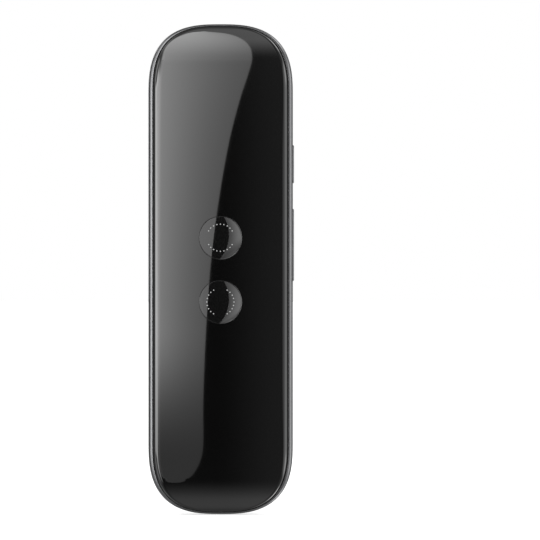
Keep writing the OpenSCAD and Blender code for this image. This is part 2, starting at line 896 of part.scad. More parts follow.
// A round cap with a shallow dish, a flange behind the panel and a stem.
module talk_button(height, gap_angle) {
    dish = [
        for (i = [0:dish_steps])
            let (radius = dish_edge_radius * i / dish_steps)
            [radius, dish_drop(radius)]
    ];
    color([0.05, 0.05, 0.055])
        difference() {
            translate([0, front_y, height])
                rotate([-90, 0, 0])
                    rotate_extrude()
                        polygon(concat(dish, [
                            [button_radius, button_chamfer],
                            [button_radius, flange_front_y - front_y],
                            [flange_radius, flange_front_y - front_y],
                            [flange_radius, flange_back_y - front_y],
                            [button_stem_diameter / 2, flange_back_y - front_y],
                            [button_stem_diameter / 2, stem_end_y - front_y],
                            [0, stem_end_y - front_y]
                        ]));
            dot_bars(height, gap_angle, front_y - 1);
        }
}

// Pale inlays that make the broken ring of dots in a cap.
module button_dots(height, gap_angle) {
    color([0.75, 0.75, 0.76])
        dot_bars(height, gap_angle, front_y + dish_at_dots + 0.02);
}

module upper_talk_button() {
    talk_button(upper_button_z, 0);
}

module lower_talk_button() {
    talk_button(lower_button_z, 90);
}

module upper_button_dots() {
    button_dots(upper_button_z, 0);
}

module lower_button_dots() {
    button_dots(lower_button_z, 90);
}

// ---------------------------------------------------------------- side keys

// A key: a bar in the band's slot with a wider flange behind the band.
module side_key(height, length) {
    color([0.45, 0.46, 0.48])
        translate([0, key_y, height]) {
            through_width(key_flange_outer_x - eps, key_tip_x)
                key_outline(length, key_depth);
            through_width(key_back_x, key_flange_outer_x)
                key_outline(length + 2 * key_flange_reach, key_depth + 2 * key_flange_reach);
        }
}

module power_key() {
    side_key(power_key_height, power_key_length);
}

module volume_rocker() {
    side_key(rocker_height, rocker_length);
}

// ----------------------------------------------------------------- switches

// Square base of a talk switch with a stepped hole for its plunger.
module talk_switch_base(height) {
    color([0.15, 0.15, 0.16])
        difference() {
            block([-talk_switch_width / 2, talk_switch_front_y, height - talk_switch_width / 2],
                [talk_switch_width / 2, board_front_y, height + talk_switch_width / 2]);
            round_bar([0, height], talk_plunger_radius + plunger_clearance, talk_switch_front_y - 1,
                board_front_y - switch_floor);
            round_bar([0, height], plunger_flange_radius + plunger_clearance,
                talk_switch_front_y + switch_lid, board_front_y - switch_floor);
        }
}

// Plunger of a talk switch, held by its flange under the base's lid.
module talk_switch_plunger(height) {
    flange_y = talk_flange_front_y;
    color("ivory") {
        round_bar([0, height], talk_plunger_radius, talk_tip_y, flange_y + plunger_flange_height);
        round_bar([0, height], plunger_flange_radius, flange_y, flange_y + plunger_flange_height);
    }
}

// Snap dome under a talk plunger: a thin spherical cap on the base's floor.
module talk_switch_dome(height) {
    rim = plunger_flange_radius - plunger_clearance;
    floor_y = board_front_y - switch_floor;
    rise = floor_y - talk_flange_front_y - plunger_flange_height - dome_gap;
    outer = (rim * rim + rise * rise) / (2 * rise);
    color("silver")
        intersection() {
            difference() {
                translate([0, floor_y - rise + outer, height])
                    sphere(r = outer);
                translate([0, floor_y - rise + outer, height])
                    sphere(r = outer - dome_thickness);
            }
            block([-rim, floor_y - rise - 1, height - rim], [rim, floor_y, height + rim]);
        }
}

module upper_switch_base() {
    talk_switch_base(upper_button_z);
}

module lower_switch_base() {
    talk_switch_base(lower_button_z);
}

module upper_switch_plunger() {
    talk_switch_plunger(upper_button_z);
}

module lower_switch_plunger() {
    talk_switch_plunger(lower_button_z);
}

module upper_switch_dome() {
    talk_switch_dome(upper_button_z);
}

module lower_switch_dome() {
    talk_switch_dome(lower_button_z);
}

// A side switch lies on the board's front and faces its key.
module side_switch_base(height) {
    color([0.16, 0.16, 0.17])
        difference() {
            block([side_switch_front_x - side_switch_depth, board_front_y - side_switch_height,
                    height - side_switch_length / 2],
                [side_switch_front_x, board_front_y, height + side_switch_length / 2]);
            cross_bar([side_switch_y, height], side_plunger_radius + plunger_clearance,
                side_switch_front_x - side_bore_depth, side_switch_front_x + 1);
        }
}

module side_switch_plunger(height) {
    color("ivory")
        cross_bar([side_switch_y, height], side_plunger_radius, side_switch_front_x - side_plunger_in,
            side_tip_x);
}

module power_switch_base() {
    side_switch_base(power_key_height);
}

module power_switch_plunger() {
    side_switch_plunger(power_key_height);
}

module upper_volume_switch_base() {
    side_switch_base(rocker_height + rocker_switch_offset);
}

module upper_volume_plunger() {
    side_switch_plunger(rocker_height + rocker_switch_offset);
}

module lower_volume_switch_base() {
    side_switch_base(rocker_height - rocker_switch_offset);
}

module lower_volume_plunger() {
    side_switch_plunger(rocker_height - rocker_switch_offset);
}

// ------------------------------------------------------------ circuit board

module main_circuit_board() {
    board_length = board_top - board_bottom;
    color([0.05, 0.25, 0.15])
        difference() {
            through_depth(board_front_y, board_back_y)
                translate([0, (board_top + board_bottom) / 2])
                    rounded(board_width, board_length, board_corner);
            for (place = post_places)
                round_bar(place, board_screw_radius + screw_clearance, board_front_y - 1, board_back_y + 1);
        }
}

// A flat chip on the board's back: middle [x, z], size [width, length, height].
module chip(middle, size) {
    block([middle[0] - size[0] / 2, board_back_y, middle[1] - size[1] / 2],
        [middle[0] + size[0] / 2, board_back_y + size[2], middle[1] + size[1] / 2]);
}

// Where each chip lies, set out from the board's edges at the socket's height
board_half = board_width / 2;
board_left = [-board_half, usb_height];
board_middle = [0, usb_height];
board_right = [board_half, usb_height];
processor_offset = [-3.6, -8.2];
processor_middle = board_middle + processor_offset;
processor_size = [12, 12, 1.1];
memory_offset = [-5, -2.7];
memory_size = [9, 7, 0.9];
shield_offset = [-6.8, -14.6];
shield_size = [11, 13, 1.7];
shield_sheet = 0.2;
audio_offset = [4.4, -16.5];
audio_size = [4, 4, 0.8];
power_offset = [4.6, -21.5];
power_size = [5, 5, 0.8];
antenna_offset = [-6, -1.4];
antenna_size = [7, 2, 1.2];
capacitor_size = [1, 0.5, 0.5];
capacitor_pitch = 1.5;
capacitor_offsets = [[0, -7.6], [0, 7.4], [-6.8, 2.6]];
// Middle and count of each row of capacitors
capacitor_rows = [
    [processor_middle + capacitor_offsets[0], 5],
    [processor_middle + capacitor_offsets[1], 5],
    [board_right + capacitor_offsets[2], 4]
];

module processor_chip() {
    color([0.1, 0.1, 0.11])
        chip(processor_middle, processor_size);
}

module memory_chip() {
    color([0.12, 0.12, 0.13])
        chip(board_right + memory_offset, memory_size);
}

module audio_chip() {
    color([0.12, 0.12, 0.13])
        chip(board_left + audio_offset, audio_size);
}

module power_chip() {
    color([0.12, 0.12, 0.13])
        chip(board_left + power_offset, power_size);
}

// Drawn metal lid over the radio: four walls and a roof.
module radio_shield_can() {
    inside = shield_size - [2 * shield_sheet, 2 * shield_sheet, shield_sheet - eps];
    middle = board_right + shield_offset;
    color("silver")
        difference() {
            chip(middle, shield_size);
            translate([0, -eps, 0])
                chip(middle, inside);
        }
}

// Rows of small capacitors beside the chips.
module board_capacitors() {
    color("tan")
        for (row = capacitor_rows, i = [0:row[1] - 1])
            chip(row[0] + [(i - (row[1] - 1) / 2) * capacitor_pitch, 0], capacitor_size);
}

module antenna_chip() {
    color("white")
        chip([board_half, board_top] + antenna_offset, antenna_size);
}

// ------------------------------------------------------------------ battery

cell_corner = 1.6;
tape_side_margin = 3;
tape_top_margin = 2;
tape_bottom_margin = 6;
foam_overhang = 1;
foam_margin = 7;
cell_board_margin = 4;
cell_board_inset = 1.6;
cell_board_thickness = 1;
lead_radius = 0.35;
lead_spread = 1;
lead_length = 4.3;
lead_pull = 1.4;
connector_size = [5, 3, 1.5];
connector_middle = [0, cell_top + cell_board_length + lead_length + connector_size[1] / 2];
cell_board_y = cell_front_y + cell_board_inset;

// Pouch cell: a flat block with rounded long edges.
module battery_cell() {
    color([0.7, 0.71, 0.73])
        translate([0, 0, cell_bottom])
            linear_extrude(height = cell_length)
                translate([0, (cell_front_y + cell_back_y) / 2])
                    rounded(cell_width, cell_thickness, cell_corner);
}

module battery_protection_board() {
    half = cell_width / 2 - cell_board_margin;
    color([0.1, 0.3, 0.18])
        block([-half, cell_board_y, cell_top],
            [half, cell_board_y + cell_board_thickness, cell_top + cell_board_length]);
}

// Double-sided tape between the cell and the board's back.
module battery_tape() {
    half = cell_width / 2 - tape_side_margin;
    color("white")
        block([-half, board_back_y, board_bottom + tape_bottom_margin],
            [half, cell_front_y, cell_top - tape_top_margin]);
}

module battery_foam_pad() {
    half = flat_half_width + foam_overhang;
    color([0.2, 0.2, 0.2])
        block([-half, cell_back_y, cell_bottom + foam_margin],
            [half, cell_back_y + foam_thickness, cell_top - foam_margin]);
}

module battery_leads() {
    from = [cell_board_y + cell_board_thickness / 2, cell_top + cell_board_length];
    to = [board_back_y + connector_size[2] / 2, connector_middle[1] - connector_size[1] / 2];
    color("firebrick")
        for (side = [-1, 1])
            wire([side * lead_spread, from[0], from[1]], [side * lead_spread, to[0], to[1]],
                lead_pull, lead_radius);
}

module battery_connector() {
    color("ivory")
        chip(connector_middle, connector_size);
}

// ------------------------------------------------------------------ speaker

module speaker_outline(inset = 0) {
    translate([0, speaker_height])
        rounded(speaker_width - 2 * inset, speaker_length - 2 * inset, speaker_corner - inset * 0.8);
}

// Frame of the speaker: a wall, and a floor with a hole for the magnet.
module speaker_basket() {
    color([0.12, 0.12, 0.13])
        difference() {
            through_depth(basket_back_y, speaker_front_y)
                speaker_outline();
            through_depth(basket_back_y + basket_floor, surround_y)
                speaker_outline(basket_wall);
            through_depth(surround_y, speaker_front_y + 1)
                speaker_outline(basket_wall - basket_ledge);
            through_depth(basket_back_y - 1, basket_back_y + 1)
                magnet_outline();
        }
}

module magnet_outline() {
    translate([0, speaker_height])
        rounded(magnet_width, magnet_length, magnet_corner);
}

coil_half_width = magnet_width / 2 - coil_inset;
coil_half_length = magnet_length / 2 - coil_inset;

// A racetrack ring round the coil's centre line, of the given width.
module coil_ring(width) {
    translate([0, speaker_height])
        difference() {
            rounded(2 * coil_half_width + width, 2 * coil_half_length + width, coil_corner + width / 2);
            rounded(2 * coil_half_width - width, 2 * coil_half_length - width, coil_corner - width / 2);
        }
}

// Magnet and yoke in one block, with a groove for the voice coil.
module speaker_magnet() {
    color([0.55, 0.56, 0.58])
        difference() {
            through_depth(magnet_back_y, magnet_front_y)
                magnet_outline();
            through_depth(magnet_front_y - groove_depth, magnet_front_y + 1)
                coil_ring(coil_groove);
        }
}

// Diaphragm with its voice coil, which moves in and out.
module speaker_cone() {
    color([0.08, 0.08, 0.09]) {
        through_depth(cone_y, surround_y)
            translate([0, speaker_height])
                rounded(2 * cone_half_width, 2 * cone_half_length, cone_corner);
        through_depth(magnet_front_y - groove_depth + coil_bottom_gap, cone_y + eps)
            coil_ring(coil_wall);
    }
}

// Flexible ring that carries the diaphragm in the basket.
module speaker_surround() {
    color([0.1, 0.1, 0.1])
        through_depth(surround_y, surround_y + surround_thickness)
            difference() {
                speaker_outline(basket_wall - basket_ledge);
                translate([0, speaker_height])
                    rounded(2 * (cone_half_width - surround_bond), 2 * (cone_half_length - surround_bond),
                        cone_corner - surround_bond);
            }
}

module speaker_gasket() {
    color([0.15, 0.15, 0.15])
        through_depth(speaker_front_y, inner_back_y - mesh_thickness)
            difference() {
                speaker_outline();
                speaker_outline(basket_wall - basket_ledge / 2);
            }
}

// Fine mesh on the inside of the grille.
module speaker_mesh() {
    half_w = (grille_columns - 1) / 2 * grille_column_pitch + grille_hole / 2 + mesh_margin;
    half_l = (grille_rows - 1) / 2 * grille_pitch + grille_hole / 2 + mesh_margin;
    color([0.03, 0.03, 0.03])
        through_depth(inner_back_y - mesh_thickness, inner_back_y)
            translate([0, grille_centre])
                rounded(2 * half_w, 2 * half_l, mesh_corner);
}

speaker_lead_radius = 0.25;
speaker_lead_length = 4;
speaker_lead_pull = 1.2;
speaker_lead_places = [2.6, 3.8];

// Two short leads from pads on the board to the basket's lower end.
module speaker_leads() {
    basket_z = speaker_height - speaker_length / 2;
    color("goldenrod")
        for (x = speaker_lead_places)
            wire([x, board_back_y + speaker_lead_radius, basket_z - speaker_lead_length],
                [x, basket_back_y + speaker_lead_radius, basket_z], speaker_lead_pull, speaker_lead_radius);
}

// --------------------------------------------------- microphone and socket

module microphone() {
    color([0.75, 0.72, 0.6])
        block([mic_outer_x + boot_wall, board_front_y - mic_thickness, mic_height - mic_width / 2],
            [mic_outer_x + boot_wall + mic_length, board_front_y, mic_height + mic_width / 2]);
}

// Rubber boot that leads sound from the band's hole to the microphone.
module microphone_boot() {
    outer_x = -inner_half_width + chassis_gap + boot_band_gap;
    inner_x = mic_outer_x + boot_wall - boot_gap;
    bore_y = min(mic_y, board_front_y - boot_bore / 2 - 0.2);
    color([0.1, 0.1, 0.1])
        difference() {
            block([outer_x, board_front_y - boot_height, mic_height - boot_width / 2],
                [inner_x, board_front_y, mic_height + boot_width / 2]);
            cross_bar([bore_y, mic_height], boot_bore / 2, outer_x - 1, inner_x + 1);
        }
}

// Drawn metal socket, open at its mouth.
module usb_socket_shell() {
    back_x = usb_mouth_x + usb_length;
    color([0.7, 0.7, 0.72])
        translate([0, usb_y, usb_height])
            difference() {
                through_width(usb_mouth_x, back_x)
                    rounded(usb_thickness, usb_width, usb_corner);
                through_width(usb_mouth_x - 1, back_x - usb_sheet)
                    rounded(usb_thickness - 2 * usb_sheet, usb_width - 2 * usb_sheet, usb_corner - usb_sheet);
            }
}

// Plastic tongue with the contacts, and the block that carries it.
module usb_socket_tongue() {
    back_x = usb_mouth_x + usb_length - usb_sheet;
    half_depth = usb_thickness / 2 - usb_sheet - tongue_gap;
    half_block = usb_width / 2 - usb_sheet - tongue_gap - tongue_block_margin;
    half_tongue = usb_width / 2 - usb_sheet - tongue_gap - tongue_margin;
    color([0.08, 0.08, 0.08])
        translate([0, usb_y, usb_height]) {
            block([back_x - tongue_block, -half_depth, -half_block], [back_x, half_depth, half_block]);
            block([usb_mouth_x + tongue_inset, -tongue_front, -half_tongue],
                [back_x - tongue_block + eps, tongue_back, half_tongue]);
        }
}

front_panel();
panel_adhesive();
side_band();
inner_chassis();
rear_shell();
chassis_screws();
upper_talk_button();
upper_button_dots();
lower_talk_button();
lower_button_dots();
power_key();
volume_rocker();
main_circuit_board();
board_screws();
processor_chip();
memory_chip();
radio_shield_can();
audio_chip();
power_chip();
board_capacitors();
antenna_chip();
upper_switch_base();
upper_switch_plunger();
upper_switch_dome();
lower_switch_base();
lower_switch_plunger();
lower_switch_dome();
power_switch_base();
power_switch_plunger();
upper_volume_switch_base();
upper_volume_plunger();
lower_volume_switch_base();
lower_volume_plunger();
battery_cell();
battery_protection_board();
battery_tape();
battery_foam_pad();
battery_leads();
battery_connector();
speaker_basket();
speaker_magnet();
speaker_cone();
speaker_surround();
speaker_gasket();
speaker_mesh();
speaker_leads();
microphone();
microphone_boot();
usb_socket_shell();
usb_socket_tongue();
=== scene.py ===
"""Handheld voice translator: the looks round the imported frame.

Lengths are in millimetres here and become metres when a mesh is made. +X is the side
with the keys, -Y the front and +Z the top, as in the frame.
"""

import math

import bmesh
import bpy
import numpy as np
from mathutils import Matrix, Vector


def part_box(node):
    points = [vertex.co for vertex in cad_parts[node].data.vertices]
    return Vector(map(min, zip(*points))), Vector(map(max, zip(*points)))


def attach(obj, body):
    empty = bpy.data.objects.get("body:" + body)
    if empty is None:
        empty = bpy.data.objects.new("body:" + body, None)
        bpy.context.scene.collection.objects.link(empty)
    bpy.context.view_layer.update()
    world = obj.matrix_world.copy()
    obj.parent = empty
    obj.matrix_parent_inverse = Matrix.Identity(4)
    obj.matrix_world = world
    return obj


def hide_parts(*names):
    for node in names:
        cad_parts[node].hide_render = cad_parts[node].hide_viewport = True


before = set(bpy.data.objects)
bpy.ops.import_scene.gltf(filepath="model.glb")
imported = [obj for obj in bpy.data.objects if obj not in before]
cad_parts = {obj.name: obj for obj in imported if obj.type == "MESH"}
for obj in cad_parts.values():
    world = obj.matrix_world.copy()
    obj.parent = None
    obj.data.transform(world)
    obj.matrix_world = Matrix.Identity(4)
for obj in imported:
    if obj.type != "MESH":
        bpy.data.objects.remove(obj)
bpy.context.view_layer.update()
MM = 0.001

# ------------------------------------------------------------------- sizes

# Outlines are given as half width, half length and length of a rounded end. Their rows along the
# straight sides run from -SIDE_END to SIDE_END, and half an end has QUARTER steps
END_POWER = 2.8
SIDE_END = 47.5
QUARTER = 40
HALF_WIDTH, HALF_LENGTH, END = 20.68, 70.0, 20.6
FRONT_Y, PANEL_EDGE_Y, PANEL_BACK_Y = -6.5, -5.35, -4.9
LIP_Y, WIDEST_Y, SEAM_Y, BACK_Y, INNER_BACK_Y = -5.25, -3.4, -1.4, 6.5, 5.3
# The panel's edge rolls in by SIDE_ROLL at the sides and by TIP_ROLL at the tips, a hem parts the roll
# from the flat, and the face bends back over the last END_BEND before each tip
PANEL = (19.13, 69.2, 19.8)
SIDE_ROLL, TIP_ROLL, PANEL_HEM, END_BEND = 1.3, 0.5, 0.03, 9.0
RIM_WIDTH, RIM_END_WIDTH = 1.22, 0.55
SEAM_STEP, SEAM_END_STEP, SEAM_SWEEP, SEAM_ROUND = 0.65, 0.3, 60, 0.1
INNER = (18.4, 67.8, 18.4)
FLAT = (6.0, 56.0, 8.0)
BUTTONS = (8.95, -9.35)
BUTTON_RADIUS, HOLE_RADIUS, FLANGE_RADIUS = 6.0, 6.06, 7.2
FLANGE_FRONT_Y, FLANGE_BACK_Y, STEM_END_Y, STEM_RADIUS = -4.8, -4.3, -3.4, 1.5
# A ring has DOT_PLACES places, and those nearer than DOT_GAP degrees to a break stay empty
DOT_RING, DOT_RADIUS, DOT_PLACES, DOT_GAP, DOT_SIDES = 3.88, 0.17, 24, 22, 14
KEY_Y, KEY_TIP_X, KEY_DEPTH, KEY_GAP = -3.2, 21.0, 1.8, 0.15
KEY_FLANGE, KEY_FLANGE_DEPTH, KEY_ROUND, KEY_ARC = 0.45, 0.5, 0.34, 25
POWER_KEY = (30.0, 11.0)
ROCKER = (6.9, 20.7)
USB_Z, USB_Y, USB_HALF_Y, USB_HALF_Z, USB_CORNER = 28.2, 0.3, 1.75, 4.2, 0.7
MIC_Z, MIC_Y, MIC_RADIUS = 54.7, -2.5, 0.6
GRILLE_Z, GRILLE_PITCH, GRILLE_COLUMN, GRILLE_RADIUS = 43.4, 2.365, 2.05, 0.5


# ----------------------------------------------------------- mesh building


def xyz(x, y, z):
    """Array of points from places, each a number or an array."""
    return np.stack(np.broadcast_arrays(x, y, z), axis=-1)


class Skin:
    """Points and faces of one piece, gathered as arrays before its mesh is made."""

    def __init__(self):
        self.points = np.zeros((0, 3))
        self.faces = []
        self.caps = []

    def add(self, points):
        """Keeps an array of points, last axis x, y, z, and gives their numbers in its shape."""
        points = np.asarray(points, float)
        numbers = len(self.points) + np.arange(points[..., 0].size).reshape(points.shape[:-1])
        self.points = np.concatenate([self.points, points.reshape(-1, 3)])
        return numbers

    def grid(self, numbers, closed=False, keep=None):
        """Quads between neighbouring rows and columns; closed joins the last column to the first."""
        nxt = np.roll(numbers, -1, axis=1) if closed else numbers[:, 1:]
        cur = numbers if closed else numbers[:, :-1]
        quads = np.stack([cur[:-1], nxt[:-1], nxt[1:], cur[1:]], axis=-1)
        if keep is not None:
            quads = quads[keep]
        self.faces.append(quads.reshape(-1, 4))

    def cap(self, loop):
        """One flat face inside a loop."""
        self.caps.append([int(i) for i in loop])


def finish_mesh(name, skin, sharp=35, marked=None):
    """Mesh of a skin in metres: repeated corners dropped, normals outward, edges over the angle sharp.
    The points in marked carry 1 in the attribute that the finish reads for painted shade, the others 0."""
    quads = np.concatenate(skin.faces) if skin.faces else np.zeros((0, 4), int)
    twins = quads == np.roll(quads, -1, axis=1)
    whole = quads[~twins.any(axis=1)]
    slim = quads[twins.sum(axis=1) == 1]
    slim = slim[~twins[twins.sum(axis=1) == 1]].reshape(-1, 3)
    faces = whole.tolist() + slim.tolist() + skin.caps
    used = np.unique(np.concatenate([whole.ravel(), slim.ravel(), *skin.caps]))
    place = np.zeros(len(skin.points), int)
    place[used] = np.arange(len(used))
    mesh = bpy.data.meshes.new(name)
    mesh.from_pydata((skin.points[used] * MM).tolist(), [], [place[f].tolist() for f in faces])
    work = bmesh.new()
    work.from_mesh(mesh)
    bmesh.ops.recalc_face_normals(work, faces=work.faces)
    work.to_mesh(mesh)
    work.free()
    mesh.polygons.foreach_set("use_smooth", np.ones(len(mesh.polygons), bool))
    mesh.set_sharp_from_angle(angle=math.radians(sharp))
    if marked is not None:
        value = np.zeros(len(used), np.float32)
        value[place[np.unique(marked)]] = 1
        mesh.attributes.new("recess", "FLOAT", "POINT").data.foreach_set("value", value)
    mesh.update()
    return mesh


def new_object(name, data):
    """An object in the scene, made from its data."""
    thing = bpy.data.objects.new(name, data)
    bpy.context.scene.collection.objects.link(thing)
    return thing


def make_piece(name, skin, material, body, node, sharp=35, marked=None):
    """A finished piece that rides on a body and stands for a CAD node."""
    thing = new_object(name, finish_mesh(name, skin, sharp, marked))
    thing.data.materials.append(material)
    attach(thing, body)
    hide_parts(node)
    return thing


def outline(ring, heights):
    """Points of one closed outline at depth y: up the +X side through the heights, over the top end,
    down the -X side and under the bottom end. Each end is a superellipse in polar form, its radius at
    angle a being ((|cos a| / width)^p + (|sin a| / end)^p)^(-1/p)."""
    y, width, length, end = ring
    angle = np.radians(np.linspace(0, 180, 2 * QUARTER + 1))
    across, along = np.abs(np.cos(angle)) / width, np.abs(np.sin(angle)) / end
    radius = (across**END_POWER + along**END_POWER) ** (-1 / END_POWER)
    end_x, end_z = radius * np.cos(angle), radius * np.sin(angle) + length - end
    side = np.full(len(heights), width)
    x = np.concatenate([side, end_x, -side, -end_x])
    z = np.concatenate([heights, end_z, heights[::-1], -end_z])
    return xyz(x, y, z)


def stack_rings(rings, heights):
    """Outlines of all rings as one array, ring by place by x, y, z."""
    return np.stack([outline(ring, heights) for ring in rings])


def side_x(rings, y, z):
    """Half width of a ringed surface at depth y and height z: the ring's sizes by interpolation over
    depth, then its superellipse solved for x."""
    depth, width, length, end = np.array(sorted(rings)).T
    w, l, e = (np.interp(y, depth, v) for v in (width, length, end))
    beyond = np.clip(np.abs(z) - (l - e), 0, None) / e
    return w * np.clip(1 - beyond**END_POWER, 0, 1) ** (1 / END_POWER)


def paths(count, heights):
    """Places of an outline from the bottom tip to the top tip, up the +X side and up the -X side."""
    top, bottom = len(heights) + QUARTER, 2 * len(heights) + 3 * QUARTER + 1
    return np.append(np.arange(bottom, count), np.arange(top + 1)), np.arange(bottom, top - 1, -1)


def fill_flat(skin, loop, heights, columns, rows=None):
    """Flat grid inside an outline. Each row joins the outline's two sides at one step up from the
    bottom tip; columns are x places, drawn in where the outline is narrow. Rows, where given, are the
    first row's number and the heights of the inner points from there on; the rest closes up to the tip."""
    right, left = paths(len(loop), heights)
    border_x, border_y, border_z = skin.points[loop][right].T
    level = border_z.copy()
    if rows is not None:
        first, placed = rows
        last = first + len(placed)
        level[first:last] = placed
        beyond = (border_z[last:] - border_z[last - 1]) / (border_z[-1] - border_z[last - 1])
        level[last:] = placed[-1] + beyond * (border_z[-1] - placed[-1])
    room = np.interp(level, border_z, border_x)
    inner = np.zeros((len(level), len(columns), 3))
    inner[..., 0] = np.minimum(1, 0.94 * room / max(columns))[:, None] * columns
    inner[..., 1] = border_y[:, None]
    inner[..., 2] = level[:, None]
    numbers = skin.add(inner)
    numbers = np.concatenate([loop[right][:, None], numbers, loop[left][:, None]], axis=1)
    numbers[0], numbers[-1] = loop[right[0]], loop[right[-1]]
    return numbers


def border(block):
    """Numbers round the edge of a block, once."""
    return np.concatenate([block[0, :-1], block[:-1, -1], block[-1, :0:-1], block[:0:-1, 0]])


def window(skin, block, axes, centre, core, radius, place, edge=None, shares=(0.5, 0.98)):
    """Faces between the border of a block and an opening: a box core grown by a radius. Each border
    point meets the opening's point nearest to it, with rows between at the given shares of the way;
    place turns the two plane places into x, y, z. Edge, where given, is the opening's points."""
    rim = border(block)
    outer = skin.points[rim][:, axes]
    if edge is None:
        anchor = np.clip(outer - centre, -np.array(core), core)
        away = outer - centre - anchor
        edge = centre + anchor + radius * away / np.linalg.norm(away, axis=1, keepdims=True)
    rings = [rim]
    for share in (*shares, 1):
        rings.append(skin.add(place(outer + (edge - outer) * share)))
    skin.grid(np.stack(rings), closed=True)
    return rings[-1], edge


def cells_without(rows, columns, blocks):
    """Mask of a grid's cells, false inside the blocks given as (row, row end, column, column end)."""
    keep = np.ones((rows - 1, columns), bool)
    for r0, r1, c0, c1 in blocks:
        keep[r0:r1, c0:c1] = False
    return keep


def at_depth(y):
    """Turns plane places x, z into points at one depth y."""
    return lambda p: xyz(p[:, 0], y, p[:, 1])


def sin_cos(turn):
    """Sine and cosine of an angle in degrees."""
    return math.sin(math.radians(turn)), math.cos(math.radians(turn))


def ladder(*runs):
    """Heights or angles in runs of (start, end, steps), each run starting where the last one ends."""
    parts = [np.linspace(a, b, n + 1)[(1 if i else 0) :] for i, (a, b, n) in enumerate(runs)]
    return np.concatenate(parts)


# ------------------------------------------------------------ shader maths


class Wire:
    """A shader socket that takes part in sums, so that a pattern reads as a formula."""

    def __init__(self, sheet, socket):
        self.sheet, self.socket = sheet, socket

    def math(self, operation, *values):
        return self.sheet.node("ShaderNodeMath", {"operation": operation}, dict(enumerate(values)))

    def __add__(self, other):
        return self.math("ADD", self, other)

    def __radd__(self, other):
        return self.math("ADD", other, self)

    def __sub__(self, other):
        return self.math("SUBTRACT", self, other)

    def __rsub__(self, other):
        return self.math("SUBTRACT", other, self)

    def __mul__(self, other):
        return self.math("MULTIPLY", self, other)

    def __rmul__(self, other):
        return self.math("MULTIPLY", other, self)

    def __truediv__(self, other):
        return self.math("DIVIDE", self, other)

    def __neg__(self):
        return self.math("MULTIPLY", self, -1.0)

    def __abs__(self):
        return self.math("ABSOLUTE", self)

    def sqrt(self):
        return self.math("SQRT", self)

    def angle(self, other):
        """Angle of (other, self), in degrees."""
        return self.math("ARCTAN2", self, other) * math.degrees(1)

    def rise(self, low, high):
        """Smooth step, 0 at low and 1 at high."""
        values = {"Value": self, "From Min": low, "From Max": high}
        return self.sheet.node("ShaderNodeMapRange", {"interpolation_type": "SMOOTHSTEP"}, values)

    def band(self, low, low_end, high, high_end):
        """1 between low_end and high, falling smoothly to 0 at low and high_end."""
        return self.rise(low, low_end) - self.rise(high, high_end)


class Sheet:
    """Node tree of a material or of the world."""

    def __init__(self, owner):
        owner.use_nodes = True
        self.tree = owner.node_tree
        self.tree.nodes.clear()

    def plug(self, value, socket):
        if isinstance(value, Wire):
            self.tree.links.new(value.socket, socket)
        else:
            socket.default_value = value

    def node(self, kind, settings=None, values=None, out=0):
        """A node of a kind: its settings first, then the values or links of its sockets."""
        made = self.tree.nodes.new(kind)
        for key, value in (settings or {}).items():
            setattr(made, key, value)
        for key, value in (values or {}).items():
            self.plug(value, made.inputs[key])
        return Wire(self, made.outputs[out]) if len(made.outputs) else None

    def position(self):
        return self.node("ShaderNodeTexCoord", out="Object")

    def grain(self, size, detail=3.0, rough=0.55):
        """Noise whose spots are about size millimetres wide."""
        values = {"Vector": self.position(), "Scale": 1 / (size * MM), "Detail": detail, "Roughness": rough}
        return self.node("ShaderNodeTexNoise", None, values)

    def mix(self, share, first, second):
        """Colour between two colours."""
        first, second = (c if isinstance(c, Wire) else (*c, 1.0) for c in (first, second))
        values = {0: share, 6: first, 7: second}
        return self.node("ShaderNodeMix", {"data_type": "RGBA"}, values, out=2)


def grey(level, warm=0.0):
    return (level * (1 + warm), level, level * (1 - warm))


def finish(
    name, base, tone, roughness, spread, grain_size, bump, metallic=0.0, coat=0.0, ior=1.5, recess=False
):
    """A finish: base colour drifting to tone, roughness that varies by spread, and a fine surface grain
    of a size and a bump height in millimetres. With the painted shade switched on, marked points are painted
    near black, rougher and not metal: painted shade for the dark gap between the panel and the band."""
    material = bpy.data.materials.new(name)
    sheet = Sheet(material)
    cloud = sheet.grain(9.0, 2.0)
    fine = sheet.grain(grain_size, 4.0)
    colour = sheet.mix(0.6 * cloud + 0.4 * fine, base, tone)
    rough = roughness + spread * (fine - 0.5) + 0.6 * spread * (cloud - 0.5)
    # Painted shade: the marked points, in the gap between the panel and the band, are mixed to near black,
    # made rougher and not metal, in place of the shade that falls there
    if recess:
        painted = sheet.node("ShaderNodeAttribute", {"attribute_name": "recess"}, out="Fac")
        colour = sheet.mix(painted, colour, grey(0.002))
        rough, metallic = rough + 0.4 * painted, metallic * (1.0 - painted)
    values = {
        "Base Color": colour,
        "Roughness": rough,
        "Metallic": metallic,
        "IOR": ior,
        "Coat Weight": coat,
        "Coat Roughness": 0.008,
        "Coat IOR": 1.5,
    }
    if bump:
        relief = {"Height": fine, "Distance": bump * MM, "Strength": 1.0}
        values["Normal"] = sheet.node("ShaderNodeBump", None, relief)
    shader = sheet.node("ShaderNodeBsdfPrincipled", None, values)
    sheet.node("ShaderNodeOutputMaterial", None, {"Surface": shader})
    return material


PANEL_GLASS = finish("panel_glass", grey(0.0004), grey(0.0009), 0.012, 0.008, 1.5, 0, coat=1.0)
BUTTON_GLASS = finish("button_glass", grey(0.0024), grey(0.0034), 0.004, 0.003, 0.6, 0, coat=1.0, ior=1.65)
